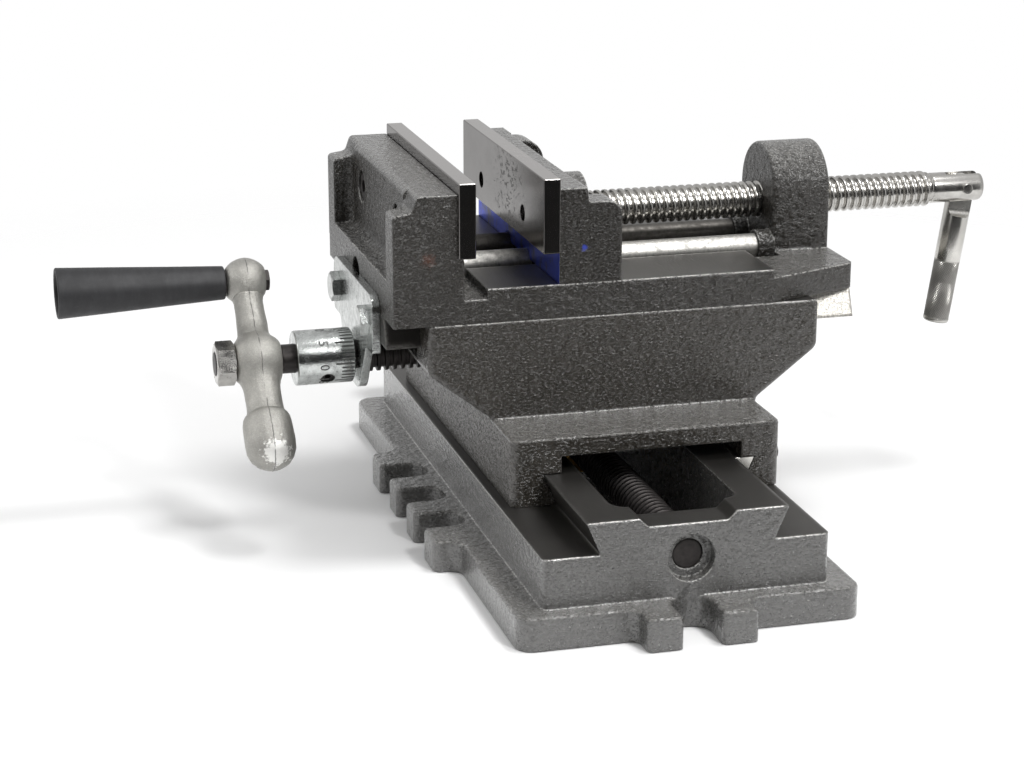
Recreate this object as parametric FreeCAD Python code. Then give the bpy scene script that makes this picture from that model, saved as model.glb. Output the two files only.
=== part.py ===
import FreeCAD, Part
import os
from math import acos, cos, pi, radians, sin, tan

# Cross slide vise with 150 mm jaws, in millimetres.
# X runs along the vise screw, Y along the base's dovetail, Z up.
# The origin is the centre of the base's underside, and the slides stand where the photograph shows them.

# Running and seating clearances
way_gap = 0.1
flank_gap = 0.15
run_gap = 0.08
fit_gap = 0.05
shake_gap = 0.3

# How far a cutter runs past the face that it opens, and how far joined pieces run into each other
past = 1.0

# How closely an edge must lie in a plane to be counted with it
hair = 0.01

# Base plate
plate_width = 160.0
plate_length = 338.0
plate_height = 15.0
plate_corner = 8.0
plate_edge = 2.0
lug_corner = 2.5
lug_root = 5.0
side_lug_corner = 4.0
side_lug_root = 7.0
side_slot_corner = 3.0
end_lug_reach = 14.0
end_lug_span = 51.4
end_slot_width = 18.0
end_slot_depth = 24.4
side_lug_reach = 12.5
side_lug_length = 138.0
side_lug_centre = 3.5
side_slot_width = 19.0
side_slot_pitch = 37.5
side_slot_depth = 22.2
side_slots = 3

# Base block, its dovetail and the channel for the lead screw
block_width = 133.4
block_length = 320.0
block_height = 23.2
block_corner = 3.0
dovetail_angle = 67.0
base_dovetail_width = 93.6
base_dovetail_height = 15.0
channel_width = 59.0
channel_floor = 12.0
channel_corner = 8.0
end_wall = 17.0
wall_dip_width = 47.0
wall_dip_depth = 4.0
wall_dip_run = 5.0
wall_dip_corner = 2.0
rear_bore_play = 1.0
end_notch_height = 9.0
end_notch_taper = 2.2
pocket_width = 18.0
pocket_roof = 9.0
pocket_wall = 12.0
pocket_from_channel = 9.0
pocket_corner = 5.0
pockets_per_side = 2

# Lead screws
lead_screw_radius = 9.0
journal_radius = 7.1
thread_end_radius = 6.0
lead_end_edge = 1.0
y_screw_offset = 1.5
y_screw_height = 33.0
y_journal_length = 11.5
counterbore_radius = 11.0
counterbore_depth = 5.5
x_screw_drop = 31.6
x_screw_length = 223.7

# Saddle
saddle_rest_y = 16.4
foot_width = 130.7
foot_offset = 3.2
foot_length = 216.6
foot_height = 31.8
foot_corner = 4.0
foot_edge = 1.5
table_width = 192.6
table_offset = 4.15
table_depth = 146.0
table_height = 47.0
table_chamfer_width = 30.4
table_chamfer_height = 23.5
table_corner = 3.0
table_shoulder_radius = 6.0
table_root_radius = 4.0
table_root_sink = 2.0
relief_depth = 7.9
relief_inset = 8.5
relief_overrun = 2.6
trough_width = 32.0
trough_depth = 20.0

# Gibs, their screws and lock nuts
y_gib_thickness = 9.5
x_gib_thickness = 6.0
gib_inset = 0.8
gib_screw_radius = 4.0
gib_screw_reach = 9.0
gib_screws = 4
nut_across_m8 = 13.0
nut_height_m8 = 6.5

# Feed nuts under and in the saddle
feed_nut_length = 28.0
feed_nut_width = 28.0
feed_nut_wall = 4.5
feed_flange_height = 6.0
feed_flange_width = 64.0
feed_screw_spacing = 46.0
feed_screw_radius = 3.0
feed_screw_head_radius = 5.6
feed_screw_length = 17.0

# Vise body
vise_rest_x = 8.0
body_length = 233.0
body_front_reach = 73.0
body_back_reach = 74.9
bed_height = 16.1
body_dovetail_width = 115.0
body_dovetail_height = 14.0
way_end_from_right = 47.5
cast_step = 3.8
taper_reach = 18.0
body_corner = 4.0
bed_channel_width = 64.8
bed_channel_depth = 10.6
bed_left_corner = 1.0
bed_taper_corner = 6.0

# Fixed jaw, seen from the front
jaw_height = 45.3
jaw_shoulder_height = 36.5
jaw_shoulder_width = 8.8
jaw_step_run = 2.6
jaw_step_rise = 1.4
panel_edge = 4.0
fixed_panel_depth = 9.5
fixed_jaw_depth = 30.6
fixed_ledge = 2.9
ledge_edge = 1.0
jaw_top_edge = 0.8
shoulder_edge = 2.0
step_root = 3.0
step_edge = 2.5
recess_floor_height = 3.7
rib_width = 14.5
recess_corner = 5.0
relief_slot_width = 11.0
relief_slot_depth = 4.6
end_hole_radius = 8.5
end_hole_depth = 22.0
end_hole_height = 6.2
end_hole_shift = 9.5

# Jaw plates and their screws
jaw_width = 150.0
jaw_plate_thickness = 8.1
jaw_plate_height = 35.3
jaw_plate_lift = 15.2
jaw_opening_at_rest = 32.0
jaw_screw_spacing = 77.0
jaw_screw_height = 26.8
jaw_screw_radius = 4.0
jaw_screw_head_radius = 6.5
jaw_screw_head_height = 8.0
jaw_counterbore_radius = 8.0
jaw_counterbore_depth = 9.0
jaw_screw_grip = 5.0
jaw_screw_socket_across = 6.0
jaw_screw_socket_depth = 4.0
jaw_plate_edge = 0.4

# Moving jaw
moving_wall = 13.1
moving_depth = 30.3
moving_shoulder_height = 38.4
moving_rear_radius = 7.0
moving_wall_edge = 1.0
moving_counterbore_depth = 5.0
moving_bore_floor = 4.0
step_lean = 1.2
step_bottom_radius = 1.5
moving_floor = 8.5
moving_rib_width = 15.3
far_shoulder_rise = 3.0
far_rear_radius = 11.0
screw_hub_radius = 18.7
screw_hub_reach = 1.5
thread_from_hub = 3.3
tongue_gap = 0.4
tongue_drop = 9.4
tongue_setback = 1.0

# Guide rods and the boss that carries the vise screw
guide_rod_radius = 6.0
guide_rod_spacing = 34.0
guide_rod_drop = 1.8
guide_rod_seat = 20.0
rod_boss_radius = 7.8
rod_boss_length = 7.5
screw_boss_length = 29.5
screw_boss_width = 47.0
screw_boss_height = 46.7
screw_boss_edge = 2.0
rod_end_cover = 8.0

# Vise screw and its folding handle
vise_screw_radius = 9.0
vise_screw_height = 17.9
vise_journal_radius = 7.0
vise_journal_length = 23.7
keeper_groove_radius = 4.9
keeper_groove_width = 5.4
keeper_pin_radius = 2.5
keeper_from_hub = 10.0
keeper_drop = 14.0
keeper_rise = 16.0
thread_runout = 0.8
thread_end_edge = 1.0
journal_edge = 1.5
plain_end_edge = 3.0
thread_length = 182.6
plain_end_radius = 7.7
plain_end_length = 28.2
fork_length = 19.7
fork_slot = 6.4
fork_pin_from_end = 9.8
fork_pin_radius = 2.6
fork_rivet_radius = 2.9
fork_rivet_height = 0.5
handle_radius = 6.65
handle_length = 60.0
handle_tang = 6.0
handle_tang_reach = 11.5
handle_lean = 8.5
handle_edge = 2.0

# Brackets that carry the lead screws
bracket_thickness = 4.0
bracket_gap = 0.4
x_bracket_width = 90.0
x_bracket_top = 40.0
x_bracket_waist = 12.0
x_bracket_neck = 60.0
x_bracket_end_radius = 14.6
x_bracket_end_shift = 2.5
x_bracket_corner = 8.0
x_bracket_end_corner = 13.1
x_bracket_step_corner = 2.0
x_bracket_neck_corner = 4.0
x_bolt_spacing = 66.0
x_bolt_rise = 26.0
y_bracket_width = 76.0
y_bracket_height = 32.0
y_bracket_corner = 7.0
y_bolt_spacing = 56.0
bolt_radius = 4.0
bolt_hole_depth = 14.0
bolt_reach = 12.0
bolt_head_height = 4.5

# Dial, crank and grip, the same set on both lead screws
dial_radius = 13.4
dial_length = 28.2
dial_gap = 1.4
dial_edge = 1.0
set_screw_radius = 3.4
set_screw_length = 5.0
set_screw_place = 14.8
set_screw_tilt = 130.0
hub_from_bracket = 47.2
hub_radius = 14.2
hub_width = 22.6
arm_radius = 44.4
arm_neck_radius = 7.0
arm_neck_base = 7.8
arm_root_radius = 8.9
ball_radius = 11.6
ball_width = 20.0
weight_start = 28.5
weight_shoulder = 11.3
weight_radius = 12.2
weight_rise = 3.5
weight_end = 58.0
weight_dome = 9.5
weight_root = 2.0
weight_edge = 3.0
crank_nut_across = 19.0
crank_nut_height = 9.3
shaft_tip = 0.4
grip_bolt_radius = 3.0
grip_bolt_head_radius = 5.0
grip_bolt_head_height = 4.0
grip_nut_across = 10.0
grip_nut_height = 3.2
grip_nut_recess = 1.6
grip_nut_recess_radius = 6.2
grip_length = 81.5
grip_small_radius = 8.2
grip_large_radius = 12.45
grip_floor = 24.0
grip_bore_radius = 8.6
grip_edge = 1.0
grip_mouth_edge = 0.5
grip_bore_draft = 1.0
x_crank_turn = 44.0
y_crank_turn = 96.0
nut_turn = 33.0


def at_z(height):
    return lambda u, v: FreeCAD.Vector(u, v, height)


def at_y(place):
    return lambda u, v: FreeCAD.Vector(u, place, v)


def at_x(place):
    return lambda u, v: FreeCAD.Vector(place, u, v)


def outline(corners, plane):
    """A closed flat face through corners given as (u, v, radius)."""
    flat = [FreeCAD.Vector(u, v, 0) for u, v, _ in corners]
    arcs = []
    for i, (_, _, radius) in enumerate(corners):
        here = flat[i]
        if radius == 0:
            arcs.append((here, here, here))
            continue
        back = (flat[i - 1] - here).normalize()
        ahead = (flat[(i + 1) % len(flat)] - here).normalize()
        half = acos(back.dot(ahead)) / 2
        middle = (back + ahead).normalize()
        reach = radius / tan(half)
        crown = here + middle * (radius / sin(half) - radius)
        arcs.append((here + back * reach, crown, here + ahead * reach))
    edges = []
    for i, (first, crown, last) in enumerate(arcs):
        following = arcs[(i + 1) % len(arcs)][0]
        if first.distanceToPoint(last) > 1e-6:
            edges.append(Part.Arc(*[plane(p.x, p.y) for p in (first, crown, last)]).toShape())
        if last.distanceToPoint(following) > 1e-6:
            edges.append(Part.makeLine(plane(last.x, last.y), plane(following.x, following.y)))
    return Part.Face(Part.Wire(edges))


def slab_z(corners, low, high):
    return outline(corners, at_z(low)).extrude(FreeCAD.Vector(0, 0, high - low))


def slab_y(corners, low, high):
    return outline(corners, at_y(low)).extrude(FreeCAD.Vector(0, high - low, 0))


def slab_x(corners, low, high):
    return outline(corners, at_x(low)).extrude(FreeCAD.Vector(high - low, 0, 0))


def box(x0, x1, y0, y1, z0, z1):
    return Part.makeBox(x1 - x0, y1 - y0, z1 - z0, FreeCAD.Vector(x0, y0, z0))


def round_x(radius, x0, x1, y, z):
    return Part.makeCylinder(radius, x1 - x0, FreeCAD.Vector(x0, y, z), FreeCAD.Vector(1, 0, 0))


def round_y(radius, y0, y1, x, z):
    return Part.makeCylinder(radius, y1 - y0, FreeCAD.Vector(x, y0, z), FreeCAD.Vector(0, 1, 0))


def round_z(radius, z0, z1, x, y):
    return Part.makeCylinder(radius, z1 - z0, FreeCAD.Vector(x, y, z0))


def turned(corners):
    """A solid of revolution about X from its half section, given as (x, radius, corner radius)."""
    section = outline(corners, at_z(0))
    return section.revolve(FreeCAD.Vector(0, 0, 0), FreeCAD.Vector(1, 0, 0), 360)


def hex_x(across, x0, x1, y, z):
    """A hexagonal bar along X with one flat on top."""
    reach = across / 2 / cos(pi / 6)
    corners = [(y + reach * cos(k * pi / 3), z + reach * sin(k * pi / 3), 0) for k in range(6)]
    return slab_x(corners, x0, x1)


def hex_y(across, y0, y1, x, z):
    """A hexagonal bar along Y with one flat on top."""
    reach = across / 2 / cos(pi / 6)
    corners = [(x + reach * cos(k * pi / 3), z + reach * sin(k * pi / 3), 0) for k in range(6)]
    return slab_y(corners, y0, y1)


def fused(pieces):
    return pieces[0].multiFuse(pieces[1:]).removeSplitter()


def edges_of(shape, chosen):
    return [e for e in shape.Edges if chosen(e)]


def rounded(shape, radius, chosen):
    return shape.makeFillet(radius, edges_of(shape, chosen))


def export(name, pieces):
    """One node: a single solid, or a group of separate ones."""
    shape = pieces[0] if len(pieces) == 1 else Part.makeCompound(pieces)
    shape.exportStep("parts/" + name + ".step")


# Heights and places that several pieces share
ledge_z = plate_height + block_height
base_dovetail_z = ledge_z + base_dovetail_height
foot_z = ledge_z + way_gap
foot_top = foot_z + foot_height
table_top = foot_top + table_height
bed_z = table_top + way_gap
way_z = bed_z + bed_height
body_dovetail_z = bed_z - body_dovetail_height
x_screw_z = bed_z - x_screw_drop
jaw_top = way_z + jaw_height
vise_screw_z = way_z + vise_screw_height
body_left = vise_rest_x - body_length / 2
body_right = vise_rest_x + body_length / 2
way_end = body_right - way_end_from_right
cast_z = way_z - cast_step
jaw_plate_z = way_z + jaw_plate_lift
fixed_face = body_left + fixed_jaw_depth
fixed_plate_front = fixed_face + jaw_plate_thickness
moving_plate_front = fixed_plate_front + jaw_opening_at_rest
moving_face = moving_plate_front + jaw_plate_thickness
moving_back = moving_face + moving_depth
hub_back = moving_back + screw_hub_reach
jaw_screw_z = way_z + jaw_screw_height
rod_z = way_z - guide_rod_drop
boss_left = body_right - screw_boss_length
table_front = saddle_rest_y - table_depth / 2
table_back = saddle_rest_y + table_depth / 2
front_y = saddle_rest_y - body_front_reach
back_y = saddle_rest_y + body_back_reach
bracket_outer_x = body_left - bracket_thickness
bracket_outer_y = block_length / 2 + bracket_thickness
slope = 1 / tan(radians(dovetail_angle))
jaw_sides = [saddle_rest_y - jaw_screw_spacing / 2, saddle_rest_y + jaw_screw_spacing / 2]
rod_sides = [saddle_rest_y - guide_rod_spacing / 2, saddle_rest_y + guide_rod_spacing / 2]


def plate_outline():
    """The base plate's plan: end lugs with one slot each, and side lugs with three."""
    half_w = plate_width / 2
    half_l = plate_length / 2
    lug = end_lug_span / 2
    tip = half_l + end_lug_reach
    slot = end_slot_width / 2
    root = tip - end_slot_depth
    side = half_w + side_lug_reach
    side_slot = side_slot_width / 2
    low = side_lug_centre - side_lug_length / 2
    high = side_lug_centre + side_lug_length / 2
    inner = side - side_slot_depth
    centres = [side_lug_centre + side_slot_pitch * (k - (side_slots - 1) / 2) for k in range(side_slots)]

    front = [(lug, -half_l, lug_root), (lug, -tip, lug_corner), (slot, -tip, lug_corner), (slot, -root, slot)]
    right = [(half_w, -half_l, plate_corner), (half_w, low, side_lug_root), (side, low, side_lug_corner)]
    for y in centres:
        right += [(side, y - side_slot, side_slot_corner), (inner, y - side_slot, side_slot)]
        right += [(inner, y + side_slot, side_slot), (side, y + side_slot, side_slot_corner)]
    right += [(side, high, side_lug_corner), (half_w, high, side_lug_root), (half_w, half_l, plate_corner)]
    back = [(lug, half_l, lug_root), (lug, tip, lug_corner), (slot, tip, lug_corner), (slot, root, slot)]
    half = front[::-1] + right + back
    mirror = [(-x, y, r) for x, y, r in half[::-1]]
    return half + mirror


def base_flank(z):
    """Half the width of the base's dovetail at a height; it widens upward."""
    return base_dovetail_width / 2 + (z - base_dovetail_z) * slope


def body_flank(z):
    """Half the width of the vise body's dovetail at a height; it widens downward."""
    return body_dovetail_width / 2 - (z - body_dovetail_z) * slope


def dovetail(flank, low, high, near=0.0, far=0.0):
    """A dovetail's section between two heights, moved out by near on one side and by far on the other."""
    return [(-flank(low) - near, low, 0), (flank(low) + far, low, 0),
            (flank(high) + far, high, 0), (-flank(high) - near, high, 0)]


def gib(flank, thickness, low, high):
    """The strip between the positive flank and the saddle."""
    return [(flank(low) + flank_gap, low, 0), (flank(low) + thickness, low, 0),
            (flank(high) + thickness, high, 0), (flank(high) + flank_gap, high, 0)]


def make_base():
    plate = slab_z(plate_outline(), 0, plate_height)
    plate = rounded(plate, plate_edge, lambda e: e.BoundBox.ZMin > plate_height - hair)
    half_w = block_width / 2
    half_l = block_length / 2
    corners = [(-half_w, -half_l), (half_w, -half_l), (half_w, half_l), (-half_w, half_l)]
    block = slab_z([(x, y, block_corner) for x, y in corners], plate_height / 2, ledge_z)
    rail = slab_y(dovetail(base_flank, ledge_z, base_dovetail_z), -half_l, half_l)
    body = fused([plate, block, rail])

    half_c = channel_width / 2
    wall = half_l - end_wall
    corners = [(-half_c, -wall), (half_c, -wall), (half_c, wall), (-half_c, wall)]
    channel = slab_z([(x, y, channel_corner) for x, y in corners], channel_floor, base_dovetail_z + past)
    dip = wall_dip_width / 2
    low = base_dovetail_z - wall_dip_depth
    over = base_dovetail_z + past
    bottom = dip - wall_dip_run
    corners = [(-bottom, low, wall_dip_corner), (bottom, low, wall_dip_corner),
               (dip, over, 0), (-dip, over, 0)]
    dips = slab_y(corners, -half_l - past, half_l + past)
    cuts = [channel, dips]

    x, z = y_screw_offset, y_screw_height
    cuts.append(round_y(journal_radius + run_gap, -half_l - past, -wall + past, x, z))
    cuts.append(round_y(counterbore_radius, -half_l - past, -half_l + counterbore_depth, x, z))
    cuts.append(round_y(lead_screw_radius + rear_bore_play, wall - past, half_l + past, x, z))
    for side in (-1, 1):
        cuts.append(round_y(bolt_radius + fit_gap, half_l - bolt_hole_depth, half_l + past,
                            x + side * y_bolt_spacing / 2, z))

    slot = end_slot_width / 2
    end = plate_length / 2 + end_lug_reach - end_slot_depth + slot
    for sign in (-1, 1):
        cuts.append(round_z(slot, -past, plate_height, 0, sign * end))
        cuts.append(Part.makeCone(slot, slot - end_notch_taper, end_notch_height,
                                  FreeCAD.Vector(0, sign * end, plate_height)))

    inner = half_c + pocket_from_channel
    length = (2 * wall - pocket_wall * (pockets_per_side - 1)) / pockets_per_side
    for k in range(pockets_per_side):
        start = -wall + k * (length + pocket_wall)
        for sign in (-1, 1):
            x0, x1 = sorted([sign * inner, sign * (inner + pocket_width)])
            corners = [(x0, start), (x1, start), (x1, start + length), (x0, start + length)]
            cuts.append(slab_z([(x, y, pocket_corner) for x, y in corners], -past, ledge_z - pocket_roof))
    body = body.cut(cuts)
    export("base", [body.removeSplitter()])


def make_saddle():
    half_f = foot_width / 2
    half_fl = foot_length / 2
    x0, x1 = foot_offset - half_f, foot_offset + half_f
    y0, y1 = saddle_rest_y - half_fl, saddle_rest_y + half_fl
    corners = [(x0, y0), (x1, y0), (x1, y1), (x0, y1)]
    foot = slab_z([(x, y, foot_corner) for x, y in corners], foot_z, foot_top)
    foot = rounded(foot, foot_edge, lambda e: e.BoundBox.ZMin > foot_top - hair)
    half_t = table_width / 2
    t0, t1 = table_offset - half_t, table_offset + half_t
    shoulder = foot_top + table_chamfer_height
    left = [(t0, table_top, 0), (t0, shoulder, table_shoulder_radius),
            (t0 + table_chamfer_width, foot_top, table_root_radius),
            (t0 + table_chamfer_width, foot_top - table_root_sink, 0)]
    profile = left + [(t0 + t1 - x, z, radius) for x, z, radius in left[::-1]]
    table = slab_y(profile, table_front, table_back)
    table = rounded(table, table_corner, lambda e: e.BoundBox.YLength > 1 and e.BoundBox.ZMin > shoulder
                    or e.BoundBox.XLength < hair and e.BoundBox.YLength < hair)
    body = fused([foot, table])

    half_d = base_dovetail_width / 2
    groove_top = base_dovetail_z + way_gap + shake_gap
    far = flank_gap + y_gib_thickness
    relief_top = groove_top + relief_depth
    cuts = [slab_y(dovetail(base_flank, foot_z - past, groove_top, flank_gap, far), y0 - past, y1 + past),
            box(relief_inset - half_d, half_d + relief_overrun, y0 - past, y1 + past,
                groove_top - past, relief_top)]

    c = saddle_rest_y
    floor = body_dovetail_z - way_gap - shake_gap
    far = flank_gap + x_gib_thickness
    section = [(c + u, v, r) for u, v, r in dovetail(body_flank, floor, table_top + past, flank_gap, far)]
    cuts.append(slab_x(section, t0 - past, t1 + past))
    half_r = body_flank(floor) - relief_inset
    relief_floor = floor - relief_depth
    cuts.append(box(t0 - past, t1 + past, c - half_r, c + half_r, relief_floor, floor + past))
    half_w = trough_width / 2
    cuts.append(box(t0 - past, t1 + past, c - half_w, c + half_w, relief_floor - trough_depth, floor))

    for y, x, z in gib_screw_places_y():
        cuts.append(round_x(gib_screw_radius + fit_gap, x - past, x1 + past, y, z))
    for x, y, z in gib_screw_places_x():
        cuts.append(round_y(gib_screw_radius + fit_gap, y - past, table_back + past, x, z))
    hole = feed_screw_radius + fit_gap
    depth = feed_screw_length - feed_flange_height
    for side in (-1, 1):
        spot = side * feed_screw_spacing / 2
        cuts.append(round_z(hole, relief_top - past, relief_top + depth, y_screw_offset + spot, c))
        cuts.append(round_z(hole, relief_floor - depth, relief_floor + past, table_offset, c + spot))
    export("saddle", [body.cut(cuts).removeSplitter()])


def spread(count, centre, length):
    """Evenly spaced places along a length, with half a step left at each end."""
    step = length / count
    return [centre + step * (k - (count - 1) / 2) for k in range(count)]


def gib_screw_places_y():
    """Places where the screws of the lower gib meet it, as (y, x, z)."""
    z = ledge_z + base_dovetail_height / 2
    x = base_dovetail_width / 2 + y_gib_thickness - slope * base_dovetail_height / 2
    return [(y, x, z) for y in spread(gib_screws, saddle_rest_y, foot_length - 2 * gib_inset)]


def gib_screw_places_x():
    """Places where the screws of the upper gib meet it, as (x, y, z)."""
    z = bed_z - body_dovetail_height / 2
    y = saddle_rest_y + body_dovetail_width / 2 + x_gib_thickness - slope * body_dovetail_height / 2
    return [(x, y, z) for x in spread(gib_screws, table_offset, table_width - 2 * gib_inset)]


def make_gibs():
    half_l = foot_length / 2 - gib_inset
    section = gib(base_flank, y_gib_thickness, foot_z + way_gap, base_dovetail_z)
    export("y_gib", [slab_y(section, saddle_rest_y - half_l, saddle_rest_y + half_l)])
    half_t = table_width / 2 - gib_inset
    strip = gib(body_flank, x_gib_thickness, body_dovetail_z, table_top - way_gap)
    section = [(saddle_rest_y + u, v, r) for u, v, r in strip]
    export("x_gib", [slab_x(section, table_offset - half_t, table_offset + half_t)])


def make_gib_screws():
    wall = foot_offset + foot_width / 2
    start = gib_screw_radius * slope + shake_gap
    screws, nuts = [], []
    for y, x, z in gib_screw_places_y():
        screws.append(round_x(gib_screw_radius, x + start, wall + gib_screw_reach, y, z))
        nut = hex_x(nut_across_m8, wall, wall + nut_height_m8, y, z)
        nuts.append(nut.cut(round_x(gib_screw_radius + fit_gap, wall - past, wall + gib_screw_reach, y, z)))
    export("y_gib_screws", screws)
    export("y_gib_nuts", nuts)
    screws, nuts = [], []
    for x, y, z in gib_screw_places_x():
        screws.append(round_y(gib_screw_radius, y + start, table_back + gib_screw_reach, x, z))
        nut = hex_y(nut_across_m8, table_back, table_back + nut_height_m8, x, z)
        nuts.append(nut.cut(round_y(gib_screw_radius + fit_gap, table_back - past,
                                    table_back + gib_screw_reach, x, z)))
    export("x_gib_screws", screws)
    export("x_gib_nuts", nuts)


def countersunk(low_end, head_end, x, y):
    """A countersunk screw standing along Z, its head at head_end."""
    rise = 1 if head_end > low_end else -1
    cone = feed_screw_head_radius - feed_screw_radius
    start = min(low_end, head_end - rise * cone)
    end = max(low_end, head_end - rise * cone)
    shank = round_z(feed_screw_radius, start, end, x, y)
    head = Part.makeCone(feed_screw_radius, feed_screw_head_radius, cone,
                         FreeCAD.Vector(x, y, head_end - rise * cone), FreeCAD.Vector(0, 0, rise))
    return fused([shank, head])


def make_feed_nuts():
    """The bronze nuts that the two lead screws turn in, both screwed to the saddle."""
    bore = lead_screw_radius + run_gap
    half_l = feed_nut_length / 2
    half_w = feed_nut_width / 2
    half_f = feed_flange_width / 2

    top = base_dovetail_z + way_gap + shake_gap + relief_depth
    x, y = y_screw_offset, saddle_rest_y
    bottom = y_screw_height - bore - feed_nut_wall
    nut = fused([box(x - half_w, x + half_w, y - half_l, y + half_l, bottom, top),
                 box(x - half_f, x + half_f, y - half_l, y + half_l, top - feed_flange_height, top)])
    nut = nut.cut(round_y(bore, y - half_l - past, y + half_l + past, x, y_screw_height))
    screws = []
    face = top - feed_flange_height
    for side in (-1, 1):
        spot = x + side * feed_screw_spacing / 2
        nut = nut.cut(grown_seat(face, -1, spot, y, top))
        screws.append(countersunk(face + feed_screw_length, face, spot, y))
    export("y_nut", [nut])
    export("y_nut_screws", screws)

    floor = body_dovetail_z - way_gap - shake_gap - relief_depth
    x, y = table_offset, saddle_rest_y
    half_w = trough_width / 2 - fit_gap
    bottom = floor - trough_depth
    top = floor + feed_flange_height
    nut = fused([box(x - half_l, x + half_l, y - half_w, y + half_w, bottom, top),
                 box(x - half_l, x + half_l, y - half_f, y + half_f, floor, top)])
    nut = nut.cut(round_x(bore, x - half_l - past, x + half_l + past, y, x_screw_z))
    screws = []
    for side in (-1, 1):
        spot = y + side * feed_screw_spacing / 2
        nut = nut.cut(grown_seat(top, 1, x, spot, floor))
        screws.append(countersunk(top - feed_screw_length, top, x, spot))
    export("x_nut", [nut])
    export("x_nut_screws", screws)


def grown_seat(head_end, rise, x, y, far):
    """The hole and countersink for one of the feed nuts' screws, a fit's clearance larger."""
    cone = feed_screw_head_radius - feed_screw_radius
    hole = round_z(feed_screw_radius + fit_gap, min(far, head_end) - past, max(far, head_end) + past, x, y)
    sink = Part.makeCone(feed_screw_radius + fit_gap, feed_screw_head_radius + fit_gap, cone,
                         FreeCAD.Vector(x, y, head_end - rise * cone), FreeCAD.Vector(0, 0, rise))
    return fused([hole, sink])


def fixed_jaw():
    """The fixed jaw: end ribs with a shoulder and a step, a panel between them, and the ledge."""
    left, low = body_left, way_z - relief_slot_depth
    seat = jaw_plate_z - shake_gap
    front = fixed_face + fixed_ledge
    over = jaw_top + past
    block = slab_y([(left, low, 0), (left, jaw_top, 0), (fixed_face, jaw_top, jaw_top_edge),
                    (fixed_face, seat, 0), (front, seat, ledge_edge), (front, low, 0)], front_y, back_y)
    panel = left + fixed_panel_depth
    floor = way_z + recess_floor_height
    near, far = front_y + rib_width, back_y - rib_width
    recess = slab_y([(left - past, floor, 0), (panel, floor, recess_corner), (panel, over, 0),
                     (left - past, over, 0)], near, far)
    plan = slab_z([(left - past, near, 0), (panel, near, recess_corner), (panel, far, recess_corner),
                   (left - past, far, 0)], floor, over)
    brow = box(panel, panel + panel_edge, near, far, jaw_top - panel_edge, over)
    brow = brow.cut(round_y(panel_edge, near - past, far + past, panel + panel_edge, jaw_top - panel_edge))
    shoulder = way_z + jaw_shoulder_height
    inner = left + jaw_shoulder_width
    start = shoulder - 2 * shoulder_edge
    step = inner + jaw_step_run
    end = step + 2 * step_edge
    trim = [(left - past, over, 0), (left - past, start, 0), (left, start, 0),
            (left, shoulder, shoulder_edge), (inner, shoulder + jaw_step_rise, step_root),
            (step, jaw_top, step_edge), (end, jaw_top, 0), (end, over, 0)]
    trims = [slab_y(trim, front_y - past, near + recess_corner),
             slab_y(trim, far - recess_corner, back_y + past)]
    return block.cut([recess.common(plan), brow] + trims)


def bed_outline():
    """The bed's plan: both right corners are tapered from the end of the ways."""
    taper = back_y - taper_reach
    return [(body_left, front_y, bed_left_corner), (way_end, front_y, bed_taper_corner),
            (body_right, front_y + taper_reach, body_corner), (body_right, taper, body_corner),
            (way_end, back_y, bed_taper_corner), (body_left, back_y, bed_left_corner)]


def make_vise_body():
    c = saddle_rest_y
    bed = slab_z(bed_outline(), bed_z, way_z)
    bed = bed.cut(box(way_end, body_right + past, front_y - past, back_y + past, cast_z, way_z + past))
    section = [(c + u, v, r) for u, v, r in dovetail(body_flank, body_dovetail_z, bed_z)]
    rail = slab_x(section, body_left, body_right)
    panel_x = body_left + fixed_panel_depth
    slot_left = fixed_face + fixed_ledge
    half_c = bed_channel_width / 2
    channel = box(slot_left, boss_left + past, c - half_c, c + half_c,
                  way_z - bed_channel_depth, way_z + past)
    body = fused([bed.cut(channel), rail, fixed_jaw()])

    half_b = screw_boss_width / 2
    crown = way_z + screw_boss_height - half_b
    boss = fused([box(boss_left, body_right, c - half_b, c + half_b, way_z - bed_channel_depth, crown),
                  round_x(half_b, boss_left, body_right, c, crown)])
    boss = rounded(boss, screw_boss_edge,
                   lambda e: e.BoundBox.XLength < hair and e.BoundBox.ZMin > crown - past)
    lobe = boss_left - rod_boss_length
    lobes = [round_x(rod_boss_radius, lobe, boss_left + past, y, rod_z) for y in rod_sides]
    body = fused([body, boss] + lobes)

    cuts = [box(slot_left, slot_left + relief_slot_width, front_y - past, back_y + past,
                way_z - relief_slot_depth, way_z)]
    cuts.append(round_x(vise_screw_radius + run_gap, boss_left - past, body_right + past, c, vise_screw_z))
    rod_left = slot_left - guide_rod_seat
    for y in rod_sides:
        cuts.append(round_x(guide_rod_radius + fit_gap, rod_left, body_right - rod_end_cover, y, rod_z))
    for y in jaw_sides:
        cuts.append(round_x(jaw_counterbore_radius, panel_x - past, panel_x + jaw_counterbore_depth,
                            y, jaw_screw_z))
        cuts.append(round_x(jaw_screw_radius + fit_gap, panel_x - past, fixed_face + past, y, jaw_screw_z))
    cuts.append(round_x(end_hole_radius, body_left - past, body_left + end_hole_depth, c + end_hole_shift,
                        bed_z + end_hole_height))
    for side in (-1, 1):
        cuts.append(round_x(bolt_radius + fit_gap, body_left - past, body_left + bolt_hole_depth,
                            c + side * x_bolt_spacing / 2, x_screw_z + x_bolt_rise))
    export("vise_body", [body.cut(cuts).removeSplitter()])


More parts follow.
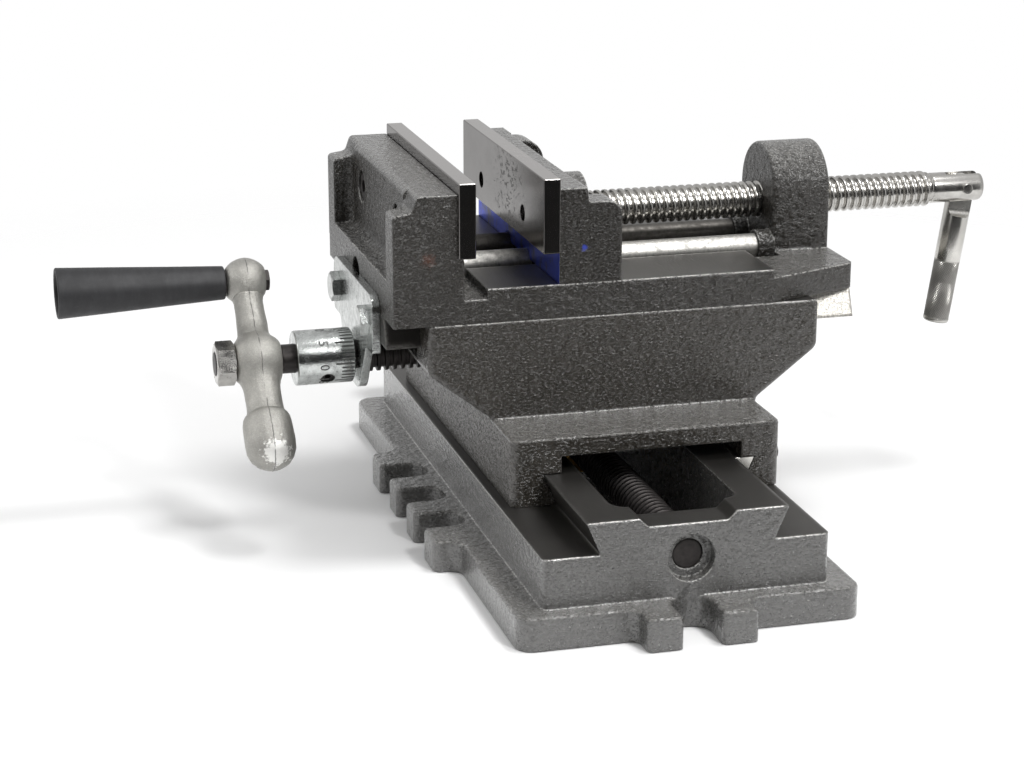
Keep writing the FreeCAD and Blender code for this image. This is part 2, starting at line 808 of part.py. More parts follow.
def jaw_plate(front, back):
    """A hardened jaw plate with two tapped holes right through."""
    half = jaw_width / 2
    x0, x1 = sorted([front, back])
    plate = box(x0, x1, saddle_rest_y - half, saddle_rest_y + half,
                jaw_plate_z, jaw_plate_z + jaw_plate_height)
    plate = plate.makeChamfer(jaw_plate_edge, plate.Edges)
    holes = [round_x(jaw_screw_radius + fit_gap, x0 - past, x1 + past, y, jaw_screw_z) for y in jaw_sides]
    return plate.cut(holes)


def jaw_screw(seat, tip, y):
    """A socket head screw along X, with its head's underside at seat and its end at tip."""
    ahead = 1 if tip > seat else -1
    top = seat - ahead * jaw_screw_head_height
    screw = fused([round_x(jaw_screw_head_radius, min(seat, top), max(seat, top), y, jaw_screw_z),
                   round_x(jaw_screw_radius, min(seat, tip), max(seat, tip), y, jaw_screw_z)])
    ends = sorted([top - ahead * past, top + ahead * jaw_screw_socket_depth])
    return screw.cut(hex_x(jaw_screw_socket_across, ends[0], ends[1], y, jaw_screw_z))


def make_jaw_plates():
    export("fixed_jaw_plate", [jaw_plate(fixed_plate_front, fixed_face)])
    export("moving_jaw_plate", [jaw_plate(moving_plate_front, moving_face)])
    seat = body_left + fixed_panel_depth + jaw_counterbore_depth
    export("fixed_jaw_screws", [jaw_screw(seat, fixed_face + jaw_screw_grip, y) for y in jaw_sides])
    seat = moving_face + moving_wall - moving_counterbore_depth
    export("moving_jaw_screws", [jaw_screw(seat, moving_face - jaw_screw_grip, y) for y in jaw_sides])


def make_guide_rods():
    left = fixed_face + fixed_ledge - guide_rod_seat
    right = body_right - rod_end_cover
    export("guide_rods", [round_x(guide_rod_radius, left, right, y, rod_z) for y in rod_sides])


def jaw_rib(rise, rear_radius, y0, y1):
    """One end rib of the moving jaw, with a step behind the wall and a rounded rear corner."""
    low = way_z + way_gap
    back = moving_face + moving_wall
    shoulder = way_z + moving_shoulder_height + rise
    return slab_y([(back - past, low, 0), (back - past, jaw_top, 0), (back, jaw_top, 0),
                   (back + step_lean, shoulder, step_bottom_radius),
                   (moving_back, shoulder, rear_radius), (moving_back, low, 0)], y0, y1)


def make_moving_jaw():
    c = saddle_rest_y
    low = way_z + way_gap
    wall_back = moving_face + moving_wall
    wall = slab_y([(moving_face, low, 0), (moving_face, jaw_top, jaw_top_edge),
                   (wall_back, jaw_top, moving_wall_edge), (wall_back, low, 0)], front_y, back_y)
    floor = box(wall_back - past, moving_back, front_y, back_y, low, low + moving_floor)
    ribs = [jaw_rib(0, moving_rear_radius, front_y, front_y + moving_rib_width),
            jaw_rib(far_shoulder_rise, far_rear_radius, back_y - moving_rib_width, back_y)]
    hub = round_x(screw_hub_radius, wall_back - past, hub_back, c, vise_screw_z)
    web = box(wall_back - past, moving_back, c - screw_hub_radius, c + screw_hub_radius, low, vise_screw_z)
    half_t = bed_channel_width / 2 - tongue_gap
    tongue = box(moving_face + tongue_setback, moving_back, c - half_t, c + half_t,
                 way_z - tongue_drop, low + past)
    hub = hub.common(box(wall_back - past, hub_back, front_y, back_y, low, jaw_top))
    jaw = fused([wall, floor, hub, web, tongue] + ribs)
    cuts = [round_x(vise_journal_radius + run_gap, moving_face + moving_bore_floor, hub_back + past,
                    c, vise_screw_z)]
    for y in rod_sides:
        cuts.append(round_x(guide_rod_radius + run_gap, moving_face - past, moving_back + past, y, rod_z))
    for y in jaw_sides:
        cuts.append(round_x(jaw_counterbore_radius, wall_back - moving_counterbore_depth, wall_back + past,
                            y, jaw_screw_z))
        cuts.append(round_x(jaw_screw_radius + fit_gap, moving_face - past, wall_back + past, y, jaw_screw_z))
    for y in keeper_sides():
        cuts.append(round_z(keeper_pin_radius + fit_gap, keeper_low(), jaw_top, keeper_x(), y))
    export("moving_jaw", [jaw.cut(cuts).removeSplitter()])


def keeper_x():
    return hub_back - keeper_from_hub


def keeper_low():
    return vise_screw_z - keeper_drop


def keeper_sides():
    offset = keeper_groove_radius + keeper_pin_radius + run_gap
    return [saddle_rest_y - offset, saddle_rest_y + offset]


def make_keeper_pins():
    """Two pins through the moving jaw's hub that hold the screw by its groove."""
    high = vise_screw_z + keeper_rise
    export("screw_keeper_pins", [round_z(keeper_pin_radius, keeper_low(), high, keeper_x(), y)
                                 for y in keeper_sides()])


def make_vise_screw():
    c, z = saddle_rest_y, vise_screw_z
    start = hub_back + thread_from_hub
    plain = start + thread_length
    end = plain + plain_end_length
    tip = start - vise_journal_length
    profile = [(tip, 0, 0), (tip, vise_journal_radius, journal_edge)]
    groove = keeper_groove_width / 2
    profile += [(keeper_x() - groove, vise_journal_radius, 0), (keeper_x() - groove, keeper_groove_radius, 0),
                (keeper_x() + groove, keeper_groove_radius, 0), (keeper_x() + groove, vise_journal_radius, 0)]
    profile += [(start, vise_journal_radius, 0), (start, vise_screw_radius, thread_end_edge),
                (plain, vise_screw_radius, 0), (plain + thread_runout, plain_end_radius, 0),
                (end, plain_end_radius, plain_end_edge), (end, 0, 0)]
    screw = turned(profile)
    screw.translate(FreeCAD.Vector(0, c, z))
    half = fork_slot / 2
    wide = 2 * plain_end_radius
    screw = screw.cut([box(end - fork_length, end + past, c - half, c + half, z - wide, z + wide),
                       round_y(fork_pin_radius + fit_gap, c - wide, c + wide, end - fork_pin_from_end, z)])
    export("vise_screw", [screw])

    pin_x = end - fork_pin_from_end
    reach = plain_end_radius
    pin = [round_y(fork_pin_radius, c - reach, c + reach, pin_x, z)]
    for side in (-1, 1):
        y0, y1 = sorted([c + side * reach, c + side * (reach + fork_rivet_height)])
        pin.append(round_y(fork_rivet_radius, y0, y1, pin_x, z))
    export("handle_pin", [fused(pin)])
    make_handle(pin_x)


def make_handle(pin_x):
    """A round bar with a flat tang, hung from the pin and leaning as the photograph shows."""
    c, z = saddle_rest_y, vise_screw_z
    r = handle_radius
    bottom = handle_tang_reach + handle_length
    bar = turned([(0, 0, 0), (0, r, 0), (bottom, r, handle_edge), (bottom, 0, 0)])
    half = handle_tang / 2
    flats = [box(-past, handle_tang_reach, half, r + past, -r - past, r + past),
             box(-past, handle_tang_reach, -r - past, -half, -r - past, r + past)]
    head = round_y(r, -half, half, 0, 0)
    bar = fused([bar.cut(flats), head])
    bar = bar.cut(round_y(fork_pin_radius + run_gap, -r - past, r + past, 0, 0))
    bar.rotate(FreeCAD.Vector(0, 0, 0), FreeCAD.Vector(0, 1, 0), 90 + handle_lean)
    bar.translate(FreeCAD.Vector(pin_x, c, z))
    export("handle", [bar])


def hex_bolt_x(face, y, z):
    """A bracket bolt along X, its head on the outer face towards -X."""
    return fused([hex_x(nut_across_m8, face - bolt_head_height, face, y, z),
                  round_x(bolt_radius, face, face + bracket_thickness + bolt_reach, y, z)])


def hex_bolt_y(face, x, z):
    """A bracket bolt along Y, its head on the outer face towards +Y."""
    return fused([hex_y(nut_across_m8, face, face + bolt_head_height, x, z),
                  round_y(bolt_radius, face - bracket_thickness - bolt_reach, face, x, z)])


def make_brackets():
    c, z = saddle_rest_y, x_screw_z
    half = x_bracket_width / 2
    neck = x_bracket_neck / 2
    end = x_bracket_end_radius
    tip = c + x_bracket_end_shift
    waist = z + x_bracket_waist
    corners = [(c - half, z + x_bracket_top, x_bracket_corner), (c - half, waist, x_bracket_step_corner),
               (c - neck, waist, x_bracket_neck_corner), (tip - end, z - end, x_bracket_end_corner),
               (tip + end, z - end, x_bracket_end_corner), (c + neck, waist, x_bracket_neck_corner),
               (c + half, waist, x_bracket_step_corner), (c + half, z + x_bracket_top, x_bracket_corner)]
    plate = slab_x(corners, bracket_outer_x, body_left)
    holes = [round_x(journal_radius + run_gap, bracket_outer_x - past, body_left + past, c, z)]
    bolts = []
    for side in (-1, 1):
        y = c + side * x_bolt_spacing / 2
        holes.append(round_x(bolt_radius + fit_gap, bracket_outer_x - past, body_left + past,
                             y, z + x_bolt_rise))
        bolts.append(hex_bolt_x(bracket_outer_x, y, z + x_bolt_rise))
    export("x_bracket", [plate.cut(holes)])
    export("x_bracket_bolts", bolts)

    x, z = y_screw_offset, y_screw_height
    half_w = y_bracket_width / 2
    half_h = y_bracket_height / 2
    face = block_length / 2
    corners = [(-half_w, -half_h), (half_w, -half_h), (half_w, half_h), (-half_w, half_h)]
    plate = slab_y([(x + u, z + v, y_bracket_corner) for u, v in corners], face, bracket_outer_y)
    holes = [round_y(journal_radius + run_gap, face - past, bracket_outer_y + past, x, z)]
    bolts = []
    for side in (-1, 1):
        u = x + side * y_bolt_spacing / 2
        holes.append(round_y(bolt_radius + fit_gap, face - past, bracket_outer_y + past, u, z))
        bolts.append(hex_bolt_y(bracket_outer_y, u, z))
    export("y_bracket", [plate.cut(holes)])
    export("y_bracket_bolts", bolts)


def lead_screw(thread, front_journal):
    """A lead screw with its crank end along +X; X is 0 on the bracket's outer face."""
    inner = -bracket_thickness - bracket_gap
    crank_seat = hub_from_bracket - hub_width / 2
    tip = hub_from_bracket + hub_width / 2 + crank_nut_height + shaft_tip
    far = inner - thread
    profile = [(far - front_journal, 0, 0)]
    if front_journal:
        profile += [(far - front_journal, journal_radius, lead_end_edge), (far, journal_radius, 0)]
    profile += [(far, lead_screw_radius, lead_end_edge), (inner, lead_screw_radius, lead_end_edge),
                (inner, journal_radius, 0),
                (crank_seat, journal_radius, 0), (crank_seat, thread_end_radius, 0),
                (tip, thread_end_radius, lead_end_edge), (tip, 0, 0)]
    return turned(profile)


def dial():
    """The feed dial, clamped on the shaft by one set screw."""
    a, b = dial_gap, dial_gap + dial_length
    bore = journal_radius + fit_gap
    ring = turned([(a, bore, 0), (a, dial_radius, dial_edge), (b, dial_radius, dial_edge), (b, bore, 0)])
    return ring.cut(radial(set_screw_radius + fit_gap, journal_radius - past, dial_radius + past))


def radial(radius, start, end):
    """A round bar that points away from the shaft at the set screw's place."""
    tilt = radians(set_screw_tilt)
    out = FreeCAD.Vector(0, sin(tilt), cos(tilt))
    return Part.makeCylinder(radius, end - start, FreeCAD.Vector(set_screw_place, 0, 0) + out * start, out)


def crank():
    """The cast crank arm, standing up along Z: hub, neck, ball and counterweight."""
    h = hub_from_bracket
    half_h = hub_width / 2
    half_b = ball_width / 2
    hub = Part.makeSphere(hub_radius, FreeCAD.Vector(h, 0, 0))
    hub = hub.common(box(h - half_h, h + half_h, -hub_radius, hub_radius, -hub_radius, hub_radius))
    ball = Part.makeSphere(ball_radius, FreeCAD.Vector(h, 0, arm_radius))
    ball = ball.common(box(h - half_b, h + half_b, -ball_radius, ball_radius,
                           arm_radius - ball_radius, arm_radius + ball_radius))
    neck = Part.makeCone(arm_neck_base, arm_neck_radius, arm_radius, FreeCAD.Vector(h, 0, 0))
    weight = turned([(0, 0, 0), (0, arm_root_radius, 0), (weight_start, arm_root_radius, weight_root),
                     (weight_start + weight_rise, weight_shoulder, weight_edge),
                     (weight_end, weight_radius, weight_dome), (weight_end, 0, 0)])
    weight.rotate(FreeCAD.Vector(0, 0, 0), FreeCAD.Vector(0, 1, 0), 90)
    weight.translate(FreeCAD.Vector(h, 0, 0))
    arm = fused([hub, neck, ball, weight])
    back = h - half_b
    return arm.cut([round_x(thread_end_radius + fit_gap, h - hub_width, h + hub_width, 0, 0),
                    round_x(grip_bolt_radius + fit_gap, h - hub_width, h + hub_width, 0, arm_radius),
                    round_x(grip_nut_recess_radius, back - past, back + grip_nut_recess, 0, arm_radius)])


def grip_pieces():
    """The bolt, its nut and the sleeve that turns on it, in line with the ball."""
    face = hub_from_bracket + ball_width / 2
    back = hub_from_bracket - ball_width / 2 + grip_nut_recess
    tip = back - grip_nut_height - shaft_tip
    z = arm_radius
    start = face + shake_gap
    head = start + grip_floor + shake_gap
    bolt = fused([round_x(grip_bolt_radius, tip, head, 0, z),
                  round_x(grip_bolt_head_radius, head, head + grip_bolt_head_height, 0, z)])
    nut = hex_x(grip_nut_across, back - grip_nut_height, back, 0, z)
    nut = nut.cut(round_x(grip_bolt_radius + fit_gap, tip, back + past, 0, z))
    end = start + grip_length
    floor = start + grip_floor
    bore = grip_bolt_radius + run_gap
    sleeve = turned([(start, bore, 0), (start, grip_small_radius, grip_edge),
                     (end, grip_large_radius, grip_edge),
                     (end, grip_bore_radius + grip_bore_draft, grip_mouth_edge),
                     (floor, grip_bore_radius, 0), (floor, bore, 0)])
    sleeve.translate(FreeCAD.Vector(0, 0, z))
    return bolt, nut, sleeve


def set_on_axis(shape, crank_turn, heading, place):
    """Turn a piece about its shaft, head it outward and put it at its bracket."""
    shape = shape.copy()
    shape.rotate(FreeCAD.Vector(0, 0, 0), FreeCAD.Vector(1, 0, 0), crank_turn)
    shape.rotate(FreeCAD.Vector(0, 0, 0), FreeCAD.Vector(0, 0, 1), heading)
    shape.translate(place)
    return shape


def make_feed_set(prefix, thread, front_journal, crank_turn, heading, place):
    """Lead screw, dial, crank and grip for one axis."""
    bolt, nut, sleeve = grip_pieces()
    h = hub_from_bracket + hub_width / 2
    big_nut = hex_x(crank_nut_across, h, h + crank_nut_height, 0, 0)
    big_nut = big_nut.cut(round_x(thread_end_radius + fit_gap, h - past, h + 2 * crank_nut_height, 0, 0))
    set_screw = radial(set_screw_radius, journal_radius, journal_radius + set_screw_length)
    pieces = {"_lead_screw": (lead_screw(thread, front_journal), 0), "_dial": (dial(), 0),
              "_dial_set_screw": (set_screw, 0),
              "_crank": (crank(), crank_turn), "_crank_nut": (big_nut, nut_turn),
              "_grip_bolt": (bolt, crank_turn), "_grip_nut": (nut, crank_turn), "_grip": (sleeve, crank_turn)}
    for name, (shape, turn) in pieces.items():
        export(prefix + name, [set_on_axis(shape, turn, heading, place)])


os.makedirs("parts", exist_ok=True)
make_base()
make_saddle()
make_gibs()
make_gib_screws()
make_feed_nuts()
make_vise_body()
make_jaw_plates()
make_guide_rods()
make_moving_jaw()
make_keeper_pins()
make_vise_screw()
make_brackets()
make_feed_set("x", x_screw_length, 0, x_crank_turn, 180,
              FreeCAD.Vector(bracket_outer_x, saddle_rest_y, x_screw_z))
y_thread = block_length - end_wall - bracket_gap - shake_gap
make_feed_set("y", y_thread, y_journal_length, y_crank_turn, 90,
              FreeCAD.Vector(y_screw_offset, bracket_outer_y, y_screw_height))
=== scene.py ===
from functools import wraps
from math import ceil, cos, exp, hypot, pi, radians, sin, tan

import bmesh
import bpy
from bpy.props import FloatProperty, FloatVectorProperty, IntProperty, PointerProperty
from mathutils import Matrix, Vector, noise


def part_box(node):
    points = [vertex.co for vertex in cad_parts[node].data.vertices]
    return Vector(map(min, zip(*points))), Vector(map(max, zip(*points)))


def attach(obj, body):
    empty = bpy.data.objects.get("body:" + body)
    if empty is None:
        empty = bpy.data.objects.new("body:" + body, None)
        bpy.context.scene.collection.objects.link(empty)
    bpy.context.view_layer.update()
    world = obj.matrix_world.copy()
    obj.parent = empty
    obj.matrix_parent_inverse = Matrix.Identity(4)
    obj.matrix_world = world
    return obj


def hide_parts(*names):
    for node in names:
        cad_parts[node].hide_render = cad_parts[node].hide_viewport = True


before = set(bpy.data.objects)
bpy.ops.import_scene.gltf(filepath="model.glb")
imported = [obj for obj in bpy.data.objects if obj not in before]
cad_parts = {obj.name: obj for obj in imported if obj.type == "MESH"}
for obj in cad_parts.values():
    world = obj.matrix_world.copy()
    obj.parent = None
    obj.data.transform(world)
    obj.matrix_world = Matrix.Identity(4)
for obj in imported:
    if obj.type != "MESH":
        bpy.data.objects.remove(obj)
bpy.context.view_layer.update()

bl_info = {
    "name": "Cross Slide Vise",
    "version": (1, 0, 0),
    "blender": (4, 5, 0),
    "location": "3D View > Sidebar > Vise",
    "description": "Detailed pieces and finishes of a cross slide vise, built around its packed frame",
    "category": "Add Mesh",
}

MM = 0.001


def linear(code):
    """An sRGB hex colour as linear red, green, blue and alpha."""
    parts = [int(code[i:i + 2], 16) / 255 for i in (1, 3, 5)]
    return [p / 12.92 if p <= 0.04045 else ((p + 0.055) / 1.055) ** 2.4 for p in parts] + [1.0]


def colour(name, description, code):
    return FloatVectorProperty(name=name, description=description, subtype="COLOR", size=4,
                               min=0.0, max=1.0, default=linear(code))


def length(name, description, millimetres):
    return FloatProperty(name=name, description=description, unit="LENGTH", precision=5, min=0.0,
                         default=millimetres * MM)


def level(name, description, default):
    return FloatProperty(name=name, description=description, default=default, min=0.0)


class ViseColours(bpy.types.PropertyGroup):
    enamel: colour("Enamel", "Paint on the castings", "#2f2b25")
    # The base's paint is lighter, partly from dust and partly as painted light on this low casting
    dusty_enamel: colour("Dusty enamel", "Paint on the base, greyed by dust", "#4b4a48")
    bare_iron: colour("Bare iron", "Machined cast iron on the ways and dovetails", "#4f4d4a")
    ground_steel: colour("Ground steel", "Hardened jaw plates", "#868381")
    bright_zinc: colour("Bright zinc", "Plating on the vise screw", "#c4c2be")
    dull_zinc: colour("Dull zinc", "Plating on brackets, dials and bolts", "#d3d6d4")
    turned_steel: colour("Turned steel", "Handle, gibs and guide rods", "#d2d0cb")
    black_oxide: colour("Black oxide", "Lead screws and socket screws", "#2a2726")
    aluminium: colour("Cast aluminium", "Crank arms", "#bbb9b3")
    plastic: colour("Plastic", "Grips", "#262628")
    bronze: colour("Bronze", "Feed nuts", "#a5854c")
    marking_blue: colour("Marking blue", "Layout dye left on the moving jaw", "#304bd0")
    numbers: colour("Numbers", "Stamped dial numbers", "#585957")


class ViseSizes(bpy.types.PropertyGroup):
    screw_pitch: length("Screw pitch", "Pitch of the vise screw", 4.0)
    lead_pitch: length("Lead screw pitch", "Pitch of both lead screws", 4.0)
    thread_depth: length("Thread depth", "Depth of the three screws' threads", 1.7)
    knurl_pitch: length("Knurl pitch", "Distance between the knurl's ridges", 1.3)
    knurl_depth: length("Knurl depth", "Height of the knurl's diamonds", 0.4)
    mark_depth: length("Mark depth", "Depth of the dials' graduations", 0.28)
    number_height: length("Number height", "Height of the dials' numbers", 4.8)
    casting_edge: length("Casting edge", "Rounding of the castings' edges", 0.9)
    fine_edge: length("Fine edge", "Rounding of machined edges", 0.3)
    divisions: IntProperty(name="Divisions", description="Graduations round each dial", default=40, min=10)


class ViseStage(bpy.types.PropertyGroup):
    lens: level("Lens", "Focal length in millimetres", 88.08)
    key: level("Overhead", "Power of the soft lamp overhead, in watts", 9.5)
    front: level("Front", "Power of the small lamp in front, in watts", 6.0)
    side: level("Left", "Power of the lamp on the left, in watts", 4.0)
    surround: level("Surround", "Level of the light from all round", 0.62)
    gloss: level("Mirrored surround", "Level of the surround that glossy faces mirror", 0.68)
    strip: level("Strip", "Level of the strip that only glossy faces mirror", 7.0)
    floor: colour("Floor", "Pale floor", "#fdfdfd")


def sizes():
    return bpy.context.scene.vise_sizes


def colours():
    return bpy.context.scene.vise_colours


def corners(node):
    """The low and high corners of a node's box, in millimetres."""
    return [[value / MM for value in corner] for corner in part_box(node)]


# Tones that tools, dirt and wear leave, tones of painted highlights and painted shade, and where single marks stand
GLINT = "#a9a7a2"
DUST_AND_TOP_LIGHT = "#8b8984"
EDGE_HIGHLIGHT = "#dddbd6"
FRONT_EDGE_GLINT = "#eceae6"
RUST = "#6b3a25"
PALE_LIT_END = ("#96938c", "#d6d3cc")
FAR_ROD_SHADE = "#3b3733"
GROOVE_DARK = "#3f3c3a"
FILED = "#eeede9"
RUST_SPOT = (-92.0, -56.6, 149.0)
DYE_FLECK = (-17.4, -56.6, 150.2)
WAY_BELOW_PLATE = 15.2
PITS_PLACE = (4.0, 18.0)
PITS_REACH = 42.0


def put(thing, **settings):
    """Set several values of one thing, and give it back."""
    for name, value in settings.items():
        setattr(thing, name, value)
    return thing


# Materials

def feed(tree, socket, value):
    """Link a value that comes from a node or set a plain one; None leaves the socket as it is."""
    if isinstance(value, bpy.types.NodeSocket):
        tree.links.new(value, socket)
    elif value is not None:
        socket.default_value = value


def add(tree, kind, *values, **settings):
    """One shader node with its settings and its open inputs fed in order; gives its first open output."""
    made = put(tree.nodes.new("ShaderNode" + kind), **settings)
    for socket, value in zip([s for s in made.inputs if s.enabled], values):
        feed(tree, socket, value)
    return next(s for s in made.outputs if s.enabled)


def finish(name):
    """Turn a function that gives a shader's inputs into one that gives the named material, built once."""
    def turned(inputs):
        @wraps(inputs)
        def material():
            made = bpy.data.materials.get(name)
            if made:
                return made
            made = bpy.data.materials.new(name)
            made.use_nodes = True
            tree = made.node_tree
            shader = tree.nodes["Principled BSDF"]
            given = inputs(tree)
            for key, value in {"Coat_Normal": given.get("Normal"), **given}.items():
                feed(tree, shader.inputs[key.replace("_", " ")], value)
            return made
        return material
    return turned


def shade(code, factor):
    return [c * factor for c in code[:3]] + [1.0]


def own_place(tree):
    """The place on the piece, in its own coordinates."""
    return add(tree, "TexCoord").node.outputs["Object"]


def axes_of(tree, source="Object"):
    """X, Y and Z of the place on the piece, or with Normal of the direction that its surface faces."""
    return add(tree, "SeparateXYZ", add(tree, "TexCoord").node.outputs[source]).node.outputs


def grain(tree, size, detail=2.0, rough=0.5, stretch=(1, 1, 1)):
    """Noise whose blotches are about size millimetres across, drawn out along each axis."""
    where = add(tree, "Mapping", own_place(tree), None, None, stretch)
    return add(tree, "TexNoise", where, 1 / (size * MM), detail, rough)


def product(tree, first, *others):
    """The values multiplied: of masks, 1 only where all of them are."""
    for other in others:
        first = add(tree, "Math", first, other, operation="MULTIPLY")
    return first


def layered(tree, base, *layers, under=None):
    """A colour under layers, each given as (colour, pattern, low, high, share): it is laid on up to its share
    as its pattern passes from low to high. A number for a colour is that many times the base."""
    tone = base if under is None else under
    for over, pattern, *bounds in layers:
        low, high, share = bounds + [0.0, 1.0, 1.0][len(bounds):]
        amount = add(tree, "MapRange", pattern, low, high, 0.0, share)
        over = shade(base, over) if isinstance(over, float) else over
        tone = add(tree, "Mix", amount, tone, over, data_type="RGBA")
    return tone


def metal(tree, base, cloud, low, high, factor, smooth, rough, relief, *layers, metallic=1.0):
    """The inputs of a metal whose colour and roughness go with the same clouds, with relief and more layers;
    relief is what bumped takes."""
    return dict(Base_Color=layered(tree, base, (factor, cloud, low, high), *layers),
                Roughness=add(tree, "MapRange", cloud, 0.3, 0.7, smooth, rough),
                Metallic=metallic, Normal=bumped(tree, *relief))


def bumped(tree, height, depth_mm, strength=0.5, rounding_mm=0.0):
    """Relief on the surface; a rounding also softens its corners and its inside corners to the eye."""
    soft = add(tree, "Bevel", rounding_mm * MM, samples=8) if rounding_mm else None
    return add(tree, "Bump", strength, depth_mm * MM, None, height, soft)


def worn_edges(tree, reach_mm, toward=None, low=0.2, high=0.5):
    """1 where the surface turns a corner within reach, and 0 on open faces; with toward, mostly those corners
    whose direction agrees with it by low to high. It marks worn edges and also edges that get a painted highlight."""
    soft = add(tree, "Bevel", reach_mm * MM, samples=6)
    true = add(tree, "NewGeometry").node.outputs["True Normal"]
    turned = add(tree, "MapRange", add(tree, "VectorMath", soft, true, operation="DOT_PRODUCT"), 0.995, 0.85)
    if toward:
        agreed = add(tree, "VectorMath", soft, toward, operation="DOT_PRODUCT")
        turned = product(tree, turned, add(tree, "MapRange", agreed, low, high, 0.1, 1.0))
    return turned


def between(tree, value, low, high):
    """1 where value lies between low and high millimetres."""
    return product(tree, add(tree, "Math", value, low * MM, operation="GREATER_THAN"),
                   add(tree, "Math", value, high * MM, operation="LESS_THAN"))


def upward(tree):
    return add(tree, "Math", axes_of(tree, "Normal")["Z"], 0.9, operation="GREATER_THAN")


def sloped(tree):
    """1 on faces that look more than a little up or down."""
    steep = add(tree, "Math", axes_of(tree, "Normal")["Z"], operation="ABSOLUTE")
    return add(tree, "Math", steep, 0.2, operation="GREATER_THAN")


def spot_at(tree, centre, radius):
    """A ragged blotch around a point given in millimetres."""
    gap = add(tree, "VectorMath", own_place(tree), [c * MM for c in centre], operation="DISTANCE")
    ragged = product(tree, gap, add(tree, "MapRange", grain(tree, 2.0, 3.0, 0.6), 0.3, 0.7, 0.7, 1.8))
    return add(tree, "MapRange", ragged, radius * MM, radius * 0.3 * MM)


def from_axis(tree, rise=0.0):
    """The distance from a line along X that lies rise millimetres above the piece's own axis."""
    across = add(tree, "VectorMath", own_place(tree), (0, 1, 1), operation="MULTIPLY")
    return add(tree, "VectorMath", across, (0, 0, rise * MM), operation="DISTANCE")


def enamel(tree, iron, paint, relief, coat=0.0, top_coat=0.9, sheen=1.0):
    """Semi-gloss enamel sprayed on sand-cast iron: the sand's grain stands through the paint, and bright specks
    are painted on its high grains as glints. A painted highlight runs along edges that turn upward, a brighter
    painted glint runs along the bare iron's front edges, and faces that look up are laid lighter, partly for
    dust and partly as painted top light. iron is the share of bare machined iron, relief is how far the grain
    stands out in millimetres on top faces, which is twice as far as on upright ones, coat and top_coat are
    the shares of the paint that dried to a clear gloss on upright and top faces, and sheen is the level of
    the rest's own gloss."""
    coarse = grain(tree, 3.2, 1.5, 0.45)
    fine = grain(tree, 0.95, 3.0, 0.7, (0.7, 0.7, 1.15))
    cloudy = grain(tree, 32.0)
    specks = grain(tree, 1.0, 2.0, 0.6, (0.6, 0.6, 1.15))
    up = axes_of(tree, "Normal")["Z"]
    # Faces that look up are laid lighter: partly dust, partly painted top light
    dust_and_top_light = product(tree, add(tree, "MapRange", up, 0.3, 0.9), add(tree, "MapRange", fine, 0.3, 0.6))
    # Edges that turn upward get a painted highlight, broken up by the fine grain
    edge = product(tree, worn_edges(tree, 1.5, (0, 0, 1)), add(tree, "MapRange", fine, 0.43, 0.52))
    # The iron's front edges, where they would mirror the lamps, get a painted glint
    front_edge_glint = product(tree, worn_edges(tree, 3.5, (0, -0.7, 0.7), 0.75, 0.93),
                   add(tree, "MapRange", fine, 0.4, 0.5))
    bare = colours().bare_iron
    bare = layered(tree, bare, (1.1, cloudy, 0.3, 0.75), (linear(FRONT_EDGE_GLINT), front_edge_glint), under=shade(bare, 0.75))
    # The pale layer laid on the specks is a painted glint on the high grains
    tone = layered(tree, paint, (1.5, fine, 0.3, 0.7), (0.7, cloudy, 0.35, 0.7, 0.35),
                   (linear(GLINT), specks, 0.68, 0.74, 0.6), (linear(DUST_AND_TOP_LIGHT), dust_and_top_light, 0.0, 1.0, 0.45),
                   (linear(EDGE_HIGHLIGHT), edge, 0.0, 1.0, 0.8), (bare, iron), under=shade(paint, 0.5))
    gloss = add(tree, "MapRange", coarse, 0.3, 0.7, 0.28, 0.18)
    lumps = add(tree, "MapRange", specks, 0.54, 0.72, 0.0, 0.4)
    height = add(tree, "Math", add(tree, "Mix", 0.25, coarse, fine), lumps, operation="ADD", use_clamp=True)
    height = product(tree, height, add(tree, "MapRange", up, 0.1, 0.7, 0.5, 1.0))
    tooled = product(tree, grain(tree, 0.5, 2.0, 0.5, (1.0, 0.08, 1.0)), 0.04)
    return dict(Base_Color=tone, Roughness=add(tree, "Mix", iron, gloss, 0.36),
                Metallic=product(tree, iron, 0.8), Specular_IOR_Level=sheen, Coat_Roughness=0.13,
                Coat_Weight=product(tree, add(tree, "MapRange", up, 0.15, 0.5, coat, top_coat),
                                    add(tree, "MapRange", iron, 0.0, 1.0, 1.0, 0.0)),
                Normal=bumped(tree, add(tree, "Mix", iron, height, tooled), relief, 0.85, 1.9))


@finish("Enamel on the base")
def base_enamel(tree):
    """Enamel laid lighter, partly greyed by dust and partly as painted light on this low casting, and milled iron on
    the ledges and the dovetail.
    """
    milled = between(tree, axes_of(tree)["Z"], corners("saddle")[0][2] - 0.4, 100)
    return enamel(tree, product(tree, milled, sloped(tree)), colours().dusty_enamel, 2.2, 1.0, 1.0)


@finish("Enamel on the saddle")
def saddle_enamel(tree):
    """Enamel with a little gloss on upright faces, and milled iron above and below."""
    place = axes_of(tree)
    low, high = corners("saddle")
    milled = add(tree, "Math", between(tree, place["Z"], high[2] - 0.2, 200),
                 between(tree, place["Z"], 0, low[2] + 0.2), operation="ADD")
    return enamel(tree, product(tree, milled, sloped(tree)), colours().enamel, 2.8, 0.15)


